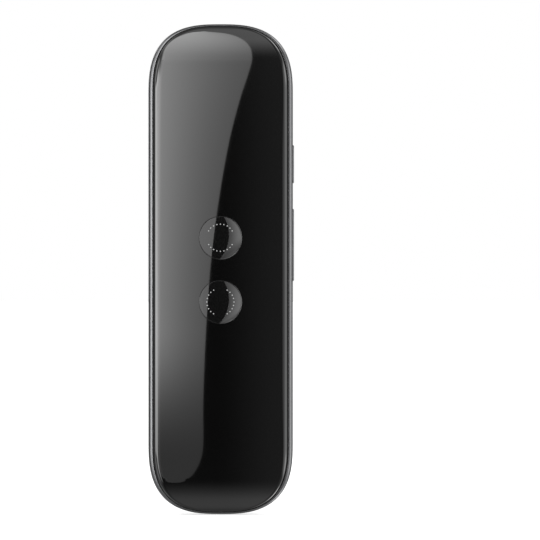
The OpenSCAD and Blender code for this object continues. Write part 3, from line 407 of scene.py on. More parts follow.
# The band carries painted shade in its gap under the panel's edge
GUNMETAL = finish(
    "band_metal", (0.18, 0.181, 0.185), (0.21, 0.211, 0.215), 0.31, 0.03, 0.1, 0.0003, 1.0, recess=True
)
KEY_METAL = finish("key_metal", (0.175, 0.176, 0.18), (0.205, 0.206, 0.21), 0.3, 0.05, 0.1, 0.0003, 1.0)
SATIN_SHELL = finish("shell_plastic", grey(0.003), grey(0.005), 0.22, 0.04, 0.12, 0.0015, ior=1.7)
DOT_PAINT = finish("dot_paint", grey(0.54), grey(0.62), 0.45, 0.1, 0.05, 0.0005)

# Base colour, drifted colour, roughness, its spread, grain size and bump; metals end with 1.0
CORE_FINISHES = {
    "adhesive_black": (grey(0.04), grey(0.055), 0.6, 0.1, 0.3, 0.01),
    "chassis_grey": (grey(0.085), grey(0.11), 0.48, 0.1, 0.25, 0.01),
    "screw_steel": (grey(0.5), grey(0.62), 0.3, 0.12, 0.08, 0.002, 1.0),
    "board_green": ((0.012, 0.1, 0.045), (0.02, 0.15, 0.07), 0.34, 0.1, 0.4, 0.012),
    "chip_black": (grey(0.022), grey(0.034), 0.5, 0.12, 0.12, 0.004),
    "shield_tin": (grey(0.58), grey(0.68), 0.32, 0.12, 0.5, 0.006, 1.0),
    "capacitor_tan": ((0.38, 0.27, 0.16), (0.5, 0.37, 0.22), 0.5, 0.1, 0.1, 0.003),
    "ceramic_white": (grey(0.7, 0.02), grey(0.78, 0.02), 0.42, 0.1, 0.2, 0.003),
    "switch_black": (grey(0.04), grey(0.055), 0.46, 0.1, 0.15, 0.004),
    "plunger_ivory": ((0.66, 0.61, 0.5), (0.73, 0.69, 0.58), 0.4, 0.1, 0.1, 0.003),
    "dome_steel": (grey(0.62), grey(0.72), 0.22, 0.1, 0.1, 0.001, 1.0),
    "cell_foil": (grey(0.52), grey(0.64), 0.34, 0.14, 1.2, 0.02, 1.0),
    "tape_white": (grey(0.7), grey(0.78), 0.62, 0.1, 0.3, 0.006),
    "foam_black": (grey(0.03), grey(0.055), 0.85, 0.08, 0.35, 0.06),
    "wire_red": ((0.4, 0.03, 0.025), (0.5, 0.05, 0.04), 0.42, 0.1, 0.15, 0.003),
    "wire_gold": ((0.66, 0.46, 0.18), (0.74, 0.54, 0.24), 0.3, 0.1, 0.1, 0.002, 1.0),
    "speaker_black": (grey(0.03), grey(0.045), 0.45, 0.1, 0.2, 0.006),
    "magnet_nickel": (grey(0.45), grey(0.55), 0.28, 0.12, 0.3, 0.003, 1.0),
    "cone_black": (grey(0.02), grey(0.035), 0.6, 0.12, 0.25, 0.01),
    "surround_rubber": (grey(0.022), grey(0.035), 0.62, 0.1, 0.2, 0.006),
    "mesh_black": (grey(0.004), grey(0.02), 0.7, 0.1, 0.12, 0.03),
    "mic_gold": ((0.7, 0.55, 0.3), (0.78, 0.63, 0.38), 0.3, 0.1, 0.2, 0.002, 1.0),
    "boot_rubber": (grey(0.022), grey(0.035), 0.7, 0.1, 0.2, 0.008),
    "usb_steel": (grey(0.52), grey(0.62), 0.3, 0.12, 0.15, 0.002, 1.0),
    "usb_black": (grey(0.015), grey(0.025), 0.45, 0.1, 0.12, 0.004),
}
core_materials = {slot: finish(slot, *values) for slot, values in CORE_FINISHES.items()}
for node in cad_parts.values():
    slot = node.data.materials[0].name
    if slot in core_materials:
        node.data.materials[0] = core_materials[slot]


# ------------------------------------------------------------ front panel


def panel_ring(turn):
    """Outline of the rolled edge: turn 0 at the rim, 90 where it meets the face."""
    c = 1 - np.cos(np.radians(turn))
    return PANEL[0] - SIDE_ROLL * c, PANEL[1] - TIP_ROLL * c, PANEL[2] - TIP_ROLL * c


def panel_y(turn, z):
    """Depth y of the panel's front: the face bends back towards both ends as a quarter ellipse over z,
    and the rolled edge, a quarter ellipse over turn, covers what is left down to the rim."""
    fall = PANEL_EDGE_Y - FRONT_Y
    share = np.clip((np.abs(z) - PANEL[1] + END_BEND) / END_BEND, 0, 1)
    bend = fall * (1 - np.sqrt(1 - share**2))
    return FRONT_Y + bend + (fall - bend) * (1 - np.sin(np.radians(turn)))


# The flat's grid has a square block of BUTTON_STEPS cells round each hole, BUTTON_REACH to each side
BUTTON_REACH, BUTTON_STEPS = 8.9, 24
PANEL_END_STEPS, PANEL_COLUMN = 6, 13.3
HOLE_ROUND = 0.025
panel_heights = ladder(
    (-SIDE_END, BUTTONS[1] - BUTTON_REACH, PANEL_END_STEPS),
    (BUTTONS[1] - BUTTON_REACH, BUTTONS[1] + BUTTON_REACH, BUTTON_STEPS),
    (BUTTONS[1] + BUTTON_REACH, BUTTONS[0] - BUTTON_REACH, 1),
    (BUTTONS[0] - BUTTON_REACH, BUTTONS[0] + BUTTON_REACH, BUTTON_STEPS),
    (BUTTONS[0] + BUTTON_REACH, SIDE_END, PANEL_END_STEPS),
)


def build_front_panel():
    """Black glass slab: flat back, short upright edge, elliptical roll all round and a flat front with
    two round holes whose mouths are rounded by a quarter circle."""
    skin = Skin()
    turns = np.append(np.linspace(0, 90, 31), 90)
    rings = [(FRONT_Y, *panel_ring(turn)) for turn in turns]
    rings[-1] = (FRONT_Y, *(size - PANEL_HEM for size in rings[-1][1:]))
    front = stack_rings(rings, panel_heights)
    front[..., 1] = panel_y(turns[:, None], front[..., 2])
    back = stack_rings([(PANEL_BACK_Y, *PANEL)], panel_heights)
    loops = skin.add(np.concatenate([back, front]))
    skin.grid(loops, closed=True)
    columns = np.linspace(BUTTON_REACH, -BUTTON_REACH, BUTTON_STEPS + 1)
    columns = np.concatenate([[PANEL_COLUMN], columns, [-PANEL_COLUMN]])
    low = QUARTER + 1 + PANEL_END_STEPS
    blocks = [(r, r + BUTTON_STEPS, 2, 2 + BUTTON_STEPS) for r in (low, low + BUTTON_STEPS + 1)]
    edges = {}
    for face, loop, y in (("front", loops[-1], FRONT_Y), ("back", loops[0], PANEL_BACK_Y)):
        numbers = fill_flat(skin, loop, panel_heights, columns)
        skin.grid(numbers, keep=cells_without(len(numbers), numbers.shape[1] - 1, blocks))
        radius = HOLE_RADIUS + (HOLE_ROUND if face == "front" else 0)
        for height, (r0, r1, c0, c1) in zip(sorted(BUTTONS), blocks):
            block, centre = numbers[r0 : r1 + 1, c0 : c1 + 1], np.array([0, height])
            edges[face, height] = window(skin, block, [0, 2], centre, (0, 0), radius, at_depth(y))
    for height in BUTTONS:
        mouth, place = edges["front", height]
        away = (place - [0, height]) / (HOLE_RADIUS + HOLE_ROUND)
        loops = [mouth]
        for turn in (30, 60, 90):
            s, c = sin_cos(turn)
            ring = away * (HOLE_RADIUS + HOLE_ROUND * (1 - s)) + [0, height]
            loops.append(skin.add(at_depth(FRONT_Y + HOLE_ROUND * (1 - c))(ring)))
        loops.append(edges["back", height][0])
        skin.grid(np.stack(loops), closed=True)
    return make_piece("front_glass", skin, PANEL_GLASS, "casing", "front_panel", sharp=40)


# --------------------------------------------------------------- side band


def band_front_ring(turn):
    """Ring of the band's front roll, a quarter ellipse: turn 0 at the widest, 90 at the lip."""
    s, c = sin_cos(turn)
    return (
        WIDEST_Y - (WIDEST_Y - LIP_Y) * s,
        HALF_WIDTH - RIM_WIDTH * (1 - c),
        HALF_LENGTH - RIM_END_WIDTH * (1 - c),
        END - RIM_END_WIDTH * (1 - c),
    )


def band_rear_ring(turn):
    """Ring of the band's rear roll, an arc: turn 0 at the widest, SEAM_SWEEP at the seam."""
    s, c = sin_cos(turn)
    seam_s, seam_c = sin_cos(SEAM_SWEEP)
    share = (1 - c) / (1 - seam_c)
    return (
        WIDEST_Y + (SEAM_Y - WIDEST_Y) * s / seam_s,
        HALF_WIDTH - SEAM_STEP * share,
        HALF_LENGTH - SEAM_END_STEP * share,
        END - SEAM_END_STEP * share,
    )


# Each opening in the band has a block of cells, SLOT_STEPS rows deep, in the outer face and the wall.
# MIC_BLOCK counts places back from the end of the upper left arc
SLOT_MARGIN, MOUTH_ROUND = 0.7, 0.08
LIP_STEPS, WIDEST_STEPS, SLOT_STEPS = 9, 7, 12
BLOCK_FRONT_TURN, BLOCK_REAR_TURN, LAST_TURN = 46.9, 45.6, 57
WALL_BLOCK_Y = (-1.75, -4.75)
ROCKER_STEPS, POWER_STEPS = 34, 22
MIC_BLOCK = (9, 4)


def slot_ends(key):
    """Heights at which the block of cells round a key's slot begins and ends."""
    height, length = key
    return height - length / 2 - SLOT_MARGIN, height + length / 2 + SLOT_MARGIN


rocker_low, rocker_high = slot_ends(ROCKER)
power_low, power_high = slot_ends(POWER_KEY)
band_heights = ladder(
    (-SIDE_END, rocker_low, 8),
    (rocker_low, rocker_high, ROCKER_STEPS),
    (rocker_high, power_low, 2),
    (power_low, power_high, POWER_STEPS),
    (power_high, SIDE_END, 4),
)


def build_side_band():
    """Metal band: a rounded outer face from lip to seam, the inner wall, the shelf under the panel and
    the lip's inner side, looped; slots for the keys and the microphone's hole run through it."""
    skin = Skin()
    first_turns = ladder((90, BLOCK_FRONT_TURN, LIP_STEPS), (BLOCK_FRONT_TURN, 0, WIDEST_STEPS))
    last_turns = ladder((0, BLOCK_REAR_TURN, SLOT_STEPS - WIDEST_STEPS), (BLOCK_REAR_TURN, LAST_TURN, 2))[1:]
    outer = [band_front_ring(t) for t in first_turns] + [band_rear_ring(t) for t in last_turns]
    seam = band_rear_ring(SEAM_SWEEP)
    outer_rows = (LIP_STEPS, LIP_STEPS + SLOT_STEPS)
    hem = 0.3 * SEAM_ROUND
    edge = [(SEAM_Y - hem, *(v - hem for v in seam[1:])), (SEAM_Y, *(v - SEAM_ROUND for v in seam[1:]))]
    lip = band_front_ring(90)
    rear, front = WALL_BLOCK_Y
    depths = ladder((SEAM_Y, rear, 1), (rear, front, SLOT_STEPS), (front, PANEL_BACK_Y, 1))
    wall = [(y, *INNER) for y in depths]
    shelf = [(PANEL_BACK_Y, *lip[1:]), (LIP_Y + 0.04, *lip[1:])]
    rings = outer + edge + wall + shelf
    loops = skin.add(stack_rings(rings, band_heights))
    wall_first = len(outer) + len(edge) + 1
    wall_rows = (wall_first, wall_first + SLOT_STEPS)
    places = loops.shape[1]
    side = len(band_heights)
    spans = []
    for key, steps in ((ROCKER, ROCKER_STEPS), (POWER_KEY, POWER_STEPS)):
        low = int(np.argmin(np.abs(band_heights - slot_ends(key)[0])))
        core = np.array([0, (key[1] - KEY_DEPTH) / 2])
        spans.append((low, low + steps, 1, np.array([KEY_Y, key[0]]), core, KEY_DEPTH / 2 + KEY_GAP))
    last = side + 2 * QUARTER
    mic_low, mic_high = (last - step for step in MIC_BLOCK)
    spans.append((mic_low, mic_high, -1, np.array([MIC_Y, MIC_Z]), np.zeros(2), MIC_RADIUS))
    blocks = [(r0, r1, s[0], s[1]) for s in spans for r0, r1 in (outer_rows, wall_rows)]
    everything = np.concatenate([loops, loops[:1]])
    skin.grid(everything, closed=True, keep=cells_without(len(everything), places, blocks))
    for low, high, sign, centre, core, radius in spans:
        out_block = loops[outer_rows[0] : outer_rows[1] + 1, low : high + 1]
        in_block = loops[wall_rows[1] : wall_rows[0] - 1 : -1, low : high + 1]

        def on_outer(p, sign=sign, depth=0.0):
            return xyz(sign * (side_x(outer, *p.T) - depth), *p.T)

        def on_wall(p, sign=sign):
            wall_rings = [(LIP_Y, *INNER), (SEAM_Y, *INNER)]
            return xyz(sign * side_x(wall_rings, *p.T), *p.T)

        mouth_radius = radius + MOUTH_ROUND
        mouth, place = window(
            skin, out_block, [1, 2], centre, core, mouth_radius, on_outer, shares=(0.3, 0.6, 0.93)
        )
        anchor = centre + np.clip(place - centre, -core, core)
        away = (place - anchor) / mouth_radius
        loops_in = [mouth]
        for turn in (45, 90):
            s, c = sin_cos(turn)
            ring = anchor + away * (radius + MOUTH_ROUND * (1 - s))
            loops_in.append(skin.add(on_outer(ring, depth=MOUTH_ROUND * (1 - c))))
        edge = anchor + away * radius
        inner, _ = window(skin, in_block, [1, 2], centre, core, radius, on_wall, edge=edge, shares=())
        skin.grid(np.stack(loops_in + [inner]), closed=True)
    # The wall's front ring, the shelf and the lip's inner side are marked for painted shade of the gap under
    # the panel
    return make_piece("metal_band", skin, GUNMETAL, "casing", "side_band", marked=loops[-3:])


# -------------------------------------------------------------- rear shell


def shell_ring(turn, depth, start):
    """Ring of the dome, whose section is a quarter ellipse: turn 0 at the seam, 90 at the flat back."""
    s, c = sin_cos(turn)
    return (SEAM_Y + (depth - SEAM_Y) * s, *(flat + (wide - flat) * c for flat, wide in zip(FLAT, start)))


# The grille's columns hold GRILLE_ROWS holes or one less, and each hole has CELLS by CELLS cells of the
# flat's grid; GRILLE_STRAIGHT of its rows lie between the straight sides
GRILLE_COLUMNS, GRILLE_ROWS, CELLS = 5, 8, 6
GRILLE_LOW = GRILLE_Z - GRILLE_ROWS // 2 * GRILLE_PITCH
GRILLE_STEP = GRILLE_PITCH / CELLS
GRILLE_STRAIGHT, GRILLE_ROUND = 34, 0.09
# The notch for a plug lies in the dome's first rows, up to NOTCH_TURN
NOTCH_TURN, NOTCH_ROWS, DOME_ROWS = 36, 12, 26
USB_BLOCK_LOW, USB_BLOCK_STEPS = 22.2, 20
shell_heights = ladder(
    (-SIDE_END, USB_BLOCK_LOW, 14),
    (USB_BLOCK_LOW, GRILLE_LOW, USB_BLOCK_STEPS),
    (GRILLE_LOW, GRILLE_LOW + GRILLE_STRAIGHT * GRILLE_STEP, GRILLE_STRAIGHT),
)


def grille_column(column, first_row):
    """Number of holes in a column of the grille, and the first row and first column of its cells."""
    count = GRILLE_ROWS - (column % 2 == 0)
    return count, first_row + CELLS // 2 * (GRILLE_ROWS - count), 1 + CELLS * column


def grille_windows(skin, numbers, first_row, y, edges=None):
    """Round holes in staggered columns. For each, by column and row: its edge as point numbers and as
    places, and its centre. Edges are the outer holes, which the inner ones follow."""
    found = {}
    for column in range(GRILLE_COLUMNS):
        count, start, c0 = grille_column(column, first_row)
        x = (GRILLE_COLUMNS // 2 - column) * GRILLE_COLUMN
        for row in range(count):
            r0 = start + CELLS * row
            centre = np.array([x, GRILLE_Z + (row - (count - 1) / 2) * GRILLE_PITCH])
            radius = GRILLE_RADIUS + (0 if edges else GRILLE_ROUND)
            block = numbers[r0 : r0 + CELLS + 1, c0 : c0 + CELLS + 1]
            edge = None
            if edges:
                away = edges[column, row][1] - centre
                edge = centre + away * GRILLE_RADIUS / (GRILLE_RADIUS + GRILLE_ROUND)
            hole = window(skin, block, [0, 2], centre, (0, 0), radius, at_depth(y), edge=edge, shares=(0.9,))
            found[column, row] = (*hole, centre)
    return found


def build_rear_shell():
    """Domed shell with its inner wall, the grille's holes through its flat, and the notch for a plug at
    the seam on the -X side."""
    skin = Skin()
    seam = (HALF_WIDTH - SEAM_STEP, HALF_LENGTH - SEAM_END_STEP, END - SEAM_END_STEP)
    turns = ladder((0, NOTCH_TURN, NOTCH_ROWS), (NOTCH_TURN, 90, DOME_ROWS))
    outer_rings = [shell_ring(t, BACK_Y, seam) for t in turns]
    outer_rings[0] = (SEAM_Y, *(v - SEAM_ROUND for v in seam))
    second = outer_rings[1]
    lifted = SEAM_Y + SEAM_ROUND
    share = (lifted - SEAM_Y) / (second[0] - SEAM_Y)
    outer_rings.insert(1, (lifted, *(a + (b - a) * share for a, b in zip(seam, second[1:]))))
    inner_rings = [shell_ring(t, INNER_BACK_Y, INNER) for t in turns]
    inner_rings.insert(1, (SEAM_Y + 0.06, *INNER))
    notch_rows = NOTCH_ROWS + 1
    outer = skin.add(stack_rings(outer_rings, shell_heights))
    inner = skin.add(stack_rings(inner_rings, shell_heights))
    places = outer.shape[1]
    side = len(shell_heights)
    left = side + 2 * QUARTER + 1
    low = int(np.argmin(np.abs(shell_heights - USB_BLOCK_LOW)))
    c1 = left + (side - 1 - low)
    c0 = c1 - USB_BLOCK_STEPS
    keep = cells_without(len(outer), places, [(0, notch_rows, c0, c1)])
    skin.grid(outer, closed=True, keep=keep)
    skin.grid(inner, closed=True, keep=keep)
    skin.grid(np.stack([outer[0], inner[0]]), closed=True, keep=cells_without(2, places, [(0, 1, c0, c1)]))

    strips = []
    edge = None
    open_to_seam = -9
    for loops, rings in ((outer, outer_rings), (inner, inner_rings)):
        block = loops[: notch_rows + 1, c0 : c1 + 1]
        path = np.concatenate([block[:-1, 0], block[-1], block[-2::-1, -1]])
        border_place = skin.points[path][:, 1:]
        if edge is None:
            centre = np.array([USB_Y, USB_Z])
            core = np.array([USB_HALF_Y - USB_CORNER, USB_HALF_Z - USB_CORNER])
            anchor = np.clip(border_place - centre, [open_to_seam, -core[1]], core)
            away = border_place - centre - anchor
            away /= np.linalg.norm(away, axis=1, keepdims=True)
            edge = centre + anchor + USB_CORNER * away
        rows = [path]
        for step in (1, 2, 3):
            p = border_place + (edge - border_place) * step / 3
            rows.append(skin.add(xyz(-side_x(rings, *p.T), *p.T)))
        strips.append(np.stack(rows))
        skin.grid(strips[-1])
    skin.grid(np.stack([strips[0][-1], strips[1][-1]]))
    skin.grid(np.stack([strips[0][:, 0], strips[1][:, 0]]))
    skin.grid(np.stack([strips[0][:, -1], strips[1][:, -1]]))

    reach = GRILLE_COLUMNS / 2 * GRILLE_COLUMN
    columns = np.linspace(reach, -reach, CELLS * GRILLE_COLUMNS + 1)
    first = QUARTER + 1 + int(np.argmin(np.abs(shell_heights - GRILLE_LOW)))
    rows = first, GRILLE_LOW + GRILLE_STEP * np.arange(CELLS * GRILLE_ROWS + 1)
    holes = None
    for loops, y in ((outer, BACK_Y), (inner, INNER_BACK_Y)):
        numbers = fill_flat(skin, loops[-1], shell_heights, columns, rows)
        blocks = []
        for column in range(GRILLE_COLUMNS):
            count, start, c0 = grille_column(column, first)
            blocks.append((start, start + CELLS * count, c0, c0 + CELLS))
        skin.grid(numbers, keep=cells_without(len(numbers), numbers.shape[1] - 1, blocks))
        found = grille_windows(skin, numbers, first, y, holes)
        if holes is None:
            holes = found
            continue
        for key, (mouth, place, centre) in holes.items():
            away = (place - centre) / (GRILLE_RADIUS + GRILLE_ROUND)
            tube = [mouth]
            for turn in (45, 90):
                s, c = sin_cos(turn)
                ring = centre + away * (GRILLE_RADIUS + GRILLE_ROUND * (1 - s))
                tube.append(skin.add(at_depth(BACK_Y - GRILLE_ROUND * (1 - c))(ring)))
            skin.grid(np.stack(tube + [found[key][0]]), closed=True)
    return make_piece("satin_shell", skin, SATIN_SHELL, "casing", "rear_shell")


# ------------------------------------------------- talk buttons, dots, keys

SHOULDER = 0.035
CAP_FACE = BUTTON_RADIUS - SHOULDER
# The scoop's flat floor ends on the right at an arc (how far it passes from the middle, its radius and
# its middle's height); on the left the flank takes a share of the width, and ends LEFT_SPAN up and down
FLOOR_RIGHT, RIGHT_ARC, RIGHT_LIFT = 2.5, 10.0, 0.7
LEFT_SHARE, LEFT_SPAN = 0.17, 4.4
# Slope of a flank in degrees by distance from the floor, and its rise, summed in steps
FLANK_REACH = 3.8
flank_steps = np.linspace(0, FLANK_REACH, 761)
flank_slope = np.interp(flank_steps, (0, 0.02, FLANK_REACH), (0.8, 0.95, 3.4))
flank_rise = np.concatenate([[0], np.cumsum(np.tan(np.radians(flank_slope[1:])) * np.diff(flank_steps))])
DISH_DEPTH = float(np.interp(CAP_FACE - FLOOR_RIGHT, flank_steps, flank_rise))
FLANK_SHARES = np.array([0, 0.003, 0.05, 0.1, 0.18, 0.27, 0.36, 0.46, 0.56, 0.67, 0.78, 0.89, 0.985, 1])
# Section of a dot: share of its radius and rise above the cap
DOT_SECTION = np.array([(0, 0.035), (0.6, 0.028), (0.9, 0.015), (1.0, 0.0), (1.0, -0.12), (0, -0.12)])


def floor_edges(z):
    """Distances from the cap's upright axis, to the left and to the right, at which the floor ends."""
    edge = np.sqrt(np.maximum(CAP_FACE**2 - z**2, 0))
    left = edge * (1 - LEFT_SHARE * np.clip(1 - (z / LEFT_SPAN) ** 2, 0.05, 1))
    right = np.sqrt(RIGHT_ARC**2 - (z - RIGHT_LIFT) ** 2) - RIGHT_ARC + FLOOR_RIGHT
    return left, np.clip(right, -0.5 * edge, 0.95 * edge)


def dish_y(x, z):
    """Depth y of the scooped cap: flat on the floor, and outside it rising to the rim with a slope that
    grows with the distance from the floor's edge."""
    left, right = floor_edges(z)
    return FRONT_Y + DISH_DEPTH - np.interp(np.maximum(x - right, -x - left), flank_steps, flank_rise)


def build_talk_button(side, height):
    """Cap with a shallow scoop, a rounded shoulder, the flange behind the panel and the stem. The face
    is a grid whose rows run across the cap and whose columns follow the scoop's arcs; rings then go
    down the wall."""
    skin = Skin()
    turn = np.linspace(-90, 90, 97)
    z = CAP_FACE * np.sin(np.radians(turn))
    edge = CAP_FACE * np.cos(np.radians(turn))
    flanks = []
    for start in floor_edges(z):
        flank = start[:, None] + (edge - start)[:, None] * FLANK_SHARES
        flanks.append(np.concatenate([flank[:, :1] - 0.01 * edge[:, None] / CAP_FACE, flank], axis=1))
    x = np.concatenate([-flanks[0][:, ::-1], flanks[1]], axis=1)
    z = z[:, None]
    face = skin.add(xyz(x, dish_y(x, z), height + z))
    face[0], face[-1] = face[0, 0], face[-1, 0]
    skin.grid(face)
    loop = np.concatenate([face[:, -1], face[-2:0:-1, 0]])
    angle = np.radians(np.concatenate([turn, 180 - turn[-2:0:-1]]))
    rings = [loop]

    def ring(radius, y):
        rings.append(skin.add(xyz(radius * np.cos(angle), y, height + radius * np.sin(angle))))

    rim = skin.points[loop][:, 1]
    for t in np.radians((22.5, 45, 67.5, 90)):
        ring(CAP_FACE + SHOULDER * math.sin(t), rim + SHOULDER * (1 - math.cos(t)))
    ring(BUTTON_RADIUS, FLANGE_FRONT_Y)
    ring(FLANGE_RADIUS, FLANGE_FRONT_Y)
    ring(FLANGE_RADIUS, FLANGE_BACK_Y)
    ring(STEM_RADIUS, FLANGE_BACK_Y)
    ring(STEM_RADIUS, STEM_END_Y)
    skin.grid(np.stack(rings), closed=True)
    skin.cap(rings[-1])
    make_piece(f"{side}_button_cap", skin, BUTTON_GLASS, f"{side}_button", f"{side}_talk_button", sharp=40)


def build_dots(side, height, gap):
    """Ring of small domed dots, broken at two opposite places at angle gap."""
    skin = Skin()
    places = np.arange(DOT_PLACES) * 360 / DOT_PLACES
    turn = (places - gap) % 180
    around = np.radians(np.arange(DOT_SIDES) * 360 / DOT_SIDES)
    radius, rise = DOT_SECTION[:, :1] * DOT_RADIUS, DOT_SECTION[:, 1:]
    for angle in np.radians(places[np.minimum(turn, 180 - turn) > DOT_GAP]):
        floor = float(dish_y(DOT_RING * math.cos(angle), DOT_RING * math.sin(angle)))
        x = DOT_RING * math.cos(angle) + radius * np.cos(around)
        z = height + DOT_RING * math.sin(angle) + radius * np.sin(around)
        numbers = skin.add(xyz(x, floor - rise, z))
        numbers[0], numbers[-1] = numbers[0, 0], numbers[-1, 0]
        skin.grid(numbers, closed=True)
    make_piece(f"{side}_dot_ring", skin, DOT_PAINT, f"{side}_button", f"{side}_button_dots")


def build_key(name, node, body, height, length):
    """Key with round ends: a flange behind the band, a neck in the slot and a softly rounded face."""
    low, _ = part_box(node)
    back_x, flange_x = low.x / MM, low.x / MM + KEY_FLANGE_DEPTH
    half = KEY_DEPTH / 2
    flange = half + KEY_FLANGE
    rings = [(back_x, flange), (flange_x, flange), (flange_x, half), (KEY_TIP_X - KEY_ROUND, half)]
    for s, c in map(sin_cos, (15, 30, 45, 60, 75, 90)):
        rings.append((KEY_TIP_X - KEY_ROUND * (1 - s), half - KEY_ROUND * 1.2 * (1 - c)))
    angle = np.radians(np.linspace(0, 180, KEY_ARC))
    core = (length - KEY_DEPTH) / 2
    y_way = np.concatenate([np.cos(angle), -np.cos(angle)])
    z_way = np.concatenate([np.sin(angle), -np.sin(angle)])
    z_core = np.repeat([core, -core], KEY_ARC)
    skin = Skin()
    points = [xyz(x, KEY_Y + r * y_way, height + z_core + r * z_way) for x, r in rings]
    numbers = skin.add(np.stack(points))
    skin.grid(numbers, closed=True)
    skin.cap(numbers[0])
    skin.cap(numbers[-1])
    make_piece(name, skin, KEY_METAL, body, node, sharp=40)


build_front_panel()
build_side_band()
build_rear_shell()
for side, height, gap in (("upper", BUTTONS[0], 0), ("lower", BUTTONS[1], 90)):
    build_talk_button(side, height)
    build_dots(side, height, gap)
build_key("power_key_cap", "power_key", "power_button", *POWER_KEY)
build_key("volume_key_cap", "volume_rocker", "rocker", *ROCKER)

# -------------------------------------------------------- camera and floor

# Width of the picture at the panel's face
VIEW_WIDTH = 153.85
LENS, SENSOR = 210.0, 36.0
CAMERA_X, CAMERA_Z = 14.14, -0.245
distance = VIEW_WIDTH * LENS / SENSOR
camera_data = bpy.data.cameras.new("camera")
camera_data.lens, camera_data.sensor_width = LENS, SENSOR
camera_data.clip_start, camera_data.clip_end = 0.05, 50
camera = new_object("camera", camera_data)
camera.location = (CAMERA_X * MM, (FRONT_Y - distance) * MM, CAMERA_Z * MM)
camera.rotation_euler = (math.radians(90), 0, 0)
bpy.context.scene.camera = camera
bpy.context.scene.view_settings.view_transform = "Standard"

# FLOOR_GLOW is what the paper adds to its shadowed white for the camera alone
FLOOR_Z, FLOOR_REACH, FLOOR_GLOW = -70.2, 6000, 0.62
corners = ((-1, -1), (1, -1), (1, 1), (-1, 1))
corners = [(x * FLOOR_REACH * MM, y * FLOOR_REACH * MM, FLOOR_Z * MM) for x, y in corners]
floor_mesh = bpy.data.meshes.new("floor")
floor_mesh.from_pydata(corners, [], [(0, 1, 2, 3)])
floor = new_object("floor", floor_mesh)
floor.visible_glossy = False
floor_paper = bpy.data.materials.new("floor_paper")
sheet = Sheet(floor_paper)
seen = sheet.node("ShaderNodeLightPath", out="Is Camera Ray")
paper = sheet.node("ShaderNodeBsdfDiffuse", None, {"Color": (0.8, 0.8, 0.8, 1)})
lit = sheet.node("ShaderNodeEmission", None, {"Color": (1, 1, 1, 1), "Strength": FLOOR_GLOW * seen})
both = sheet.node("ShaderNodeAddShader", None, {0: paper, 1: lit})
sheet.node("ShaderNodeOutputMaterial", None, {"Surface": both})
floor_mesh.materials.append(floor_paper)

# ------------------------------------------------------------ studio light

# Outline of the tall light's reflection on the panel: its left and right edges from bottom to top, x and z
GLOW_LEFT = [
    (-13.8, -60.9), (-15.2, -60.6), (-16.2, -59.8), (-16.9, -58.4), (-17.4, -56.6), (-17.7, -53.5),
    (-17.83, -48.0), (-17.83, -24.0), (-17.83, 0.0), (-17.83, 24.0), (-17.83, 48.0), (-17.72, 55.5),
    (-17.2, 60.3), (-16.6, 62.4), (-15.5, 64.0), (-13.0, 65.9), (-9.2, 67.3), (-4.4, 67.8),
]
GLOW_RIGHT = [
    (-13.8, -60.9), (-11.4, -60.8), (-10.3, -60.5), (-9.0, -59.7), (-7.2, -57.6), (-5.75, -54.7),
    (-5.02, -51.6), (-4.88, -37.5), (-4.17, -19.0), (-2.7, 1.9), (-0.46, 19.6), (2.74, 37.5),
    (5.8, 49.1), (7.9, 55.5), (9.0, 59.7), (8.6, 62.9), (6.8, 65.1), (2.8, 66.9), (-4.4, 67.8),
]
# Share of the light that the panel's two glossy layers send back to the camera
PANEL_MIRROR = 0.078
CARD_DISTANCE = 15000.0


def smooth_curve(points, steps=16):
    """Catmull-Rom curve through points, spaced by chord length."""
    p = np.array(points, float)
    p = np.concatenate([[2 * p[0] - p[1]], p, [2 * p[-1] - p[-2]]])
    knots = np.concatenate([[0], np.cumsum(np.linalg.norm(np.diff(p, axis=0), axis=1) ** 0.5)])
    out = []
    for i in range(1, len(p) - 2):
        t = np.linspace(knots[i], knots[i + 1], steps, endpoint=False)[:, None]
        k = knots[i - 1 : i + 3]
        a = [((k[j + 1] - t) * p[i - 1 + j] + (t - k[j]) * p[i + j]) / (k[j + 1] - k[j]) for j in range(3)]
        b = [((k[j + 2] - t) * a[j] + (t - k[j]) * a[j + 1]) / (k[j + 2] - k[j]) for j in range(2)]
        out.append(((k[2] - t) * b[0] + (t - k[1]) * b[1]) / (k[2] - k[1]))
    return np.concatenate(out + [p[-2][None]])


def panel_depth(x, z):
    """Depth y of the panel's front at a place, found by halving the roll's turn until its ring meets it."""
    low, high = np.zeros_like(x), np.full_like(x, 90.0)
    for _ in range(40):
        turn = (low + high) / 2
        w, l, e = panel_ring(turn)
        out = (np.abs(x) / w) ** END_POWER + (np.clip(np.abs(z) - (l - e), 0, None) / e) ** END_POWER > 1
        high, low = np.where(out, turn, high), np.where(out, low, turn)
    return panel_y(low, z)


def smooth(value, low, high):
    """Smooth step, 0 at low and 1 at high."""
    share = np.clip((value - low) / (high - low), 0, 1)
    return share * share * (3 - 2 * share)


def card_level(across, z):
    """Level of the light's reflection out of 255, by share of the way across and height: it falls from
    the left edge to the right, is darker at the bottom and brighter at the top, and has a brighter line
    along its left edge, which fades out at the upper left corner."""
    level_left = 122 + 8 * smooth(z, -20, 55)
    level = level_left + (82 - level_left) * (1 - (1 - across) ** 1.3)
    level = level + (47 - level) * smooth(-z, 16, 55)
    level = level + (154 - 32 * across**1.6 - level) * smooth(z, 58, 67)
    level = level + 34 * np.clip(1 - across / 0.045, 0, 1)
    return level - 105 * smooth(z, 54, 61) * (1 - smooth(across, 0.012, 0.035))


def from_display(level):
    """Linear brightness of a display level out of 255."""
    return ((level / 255 + 0.055) / 1.055) ** 2.4


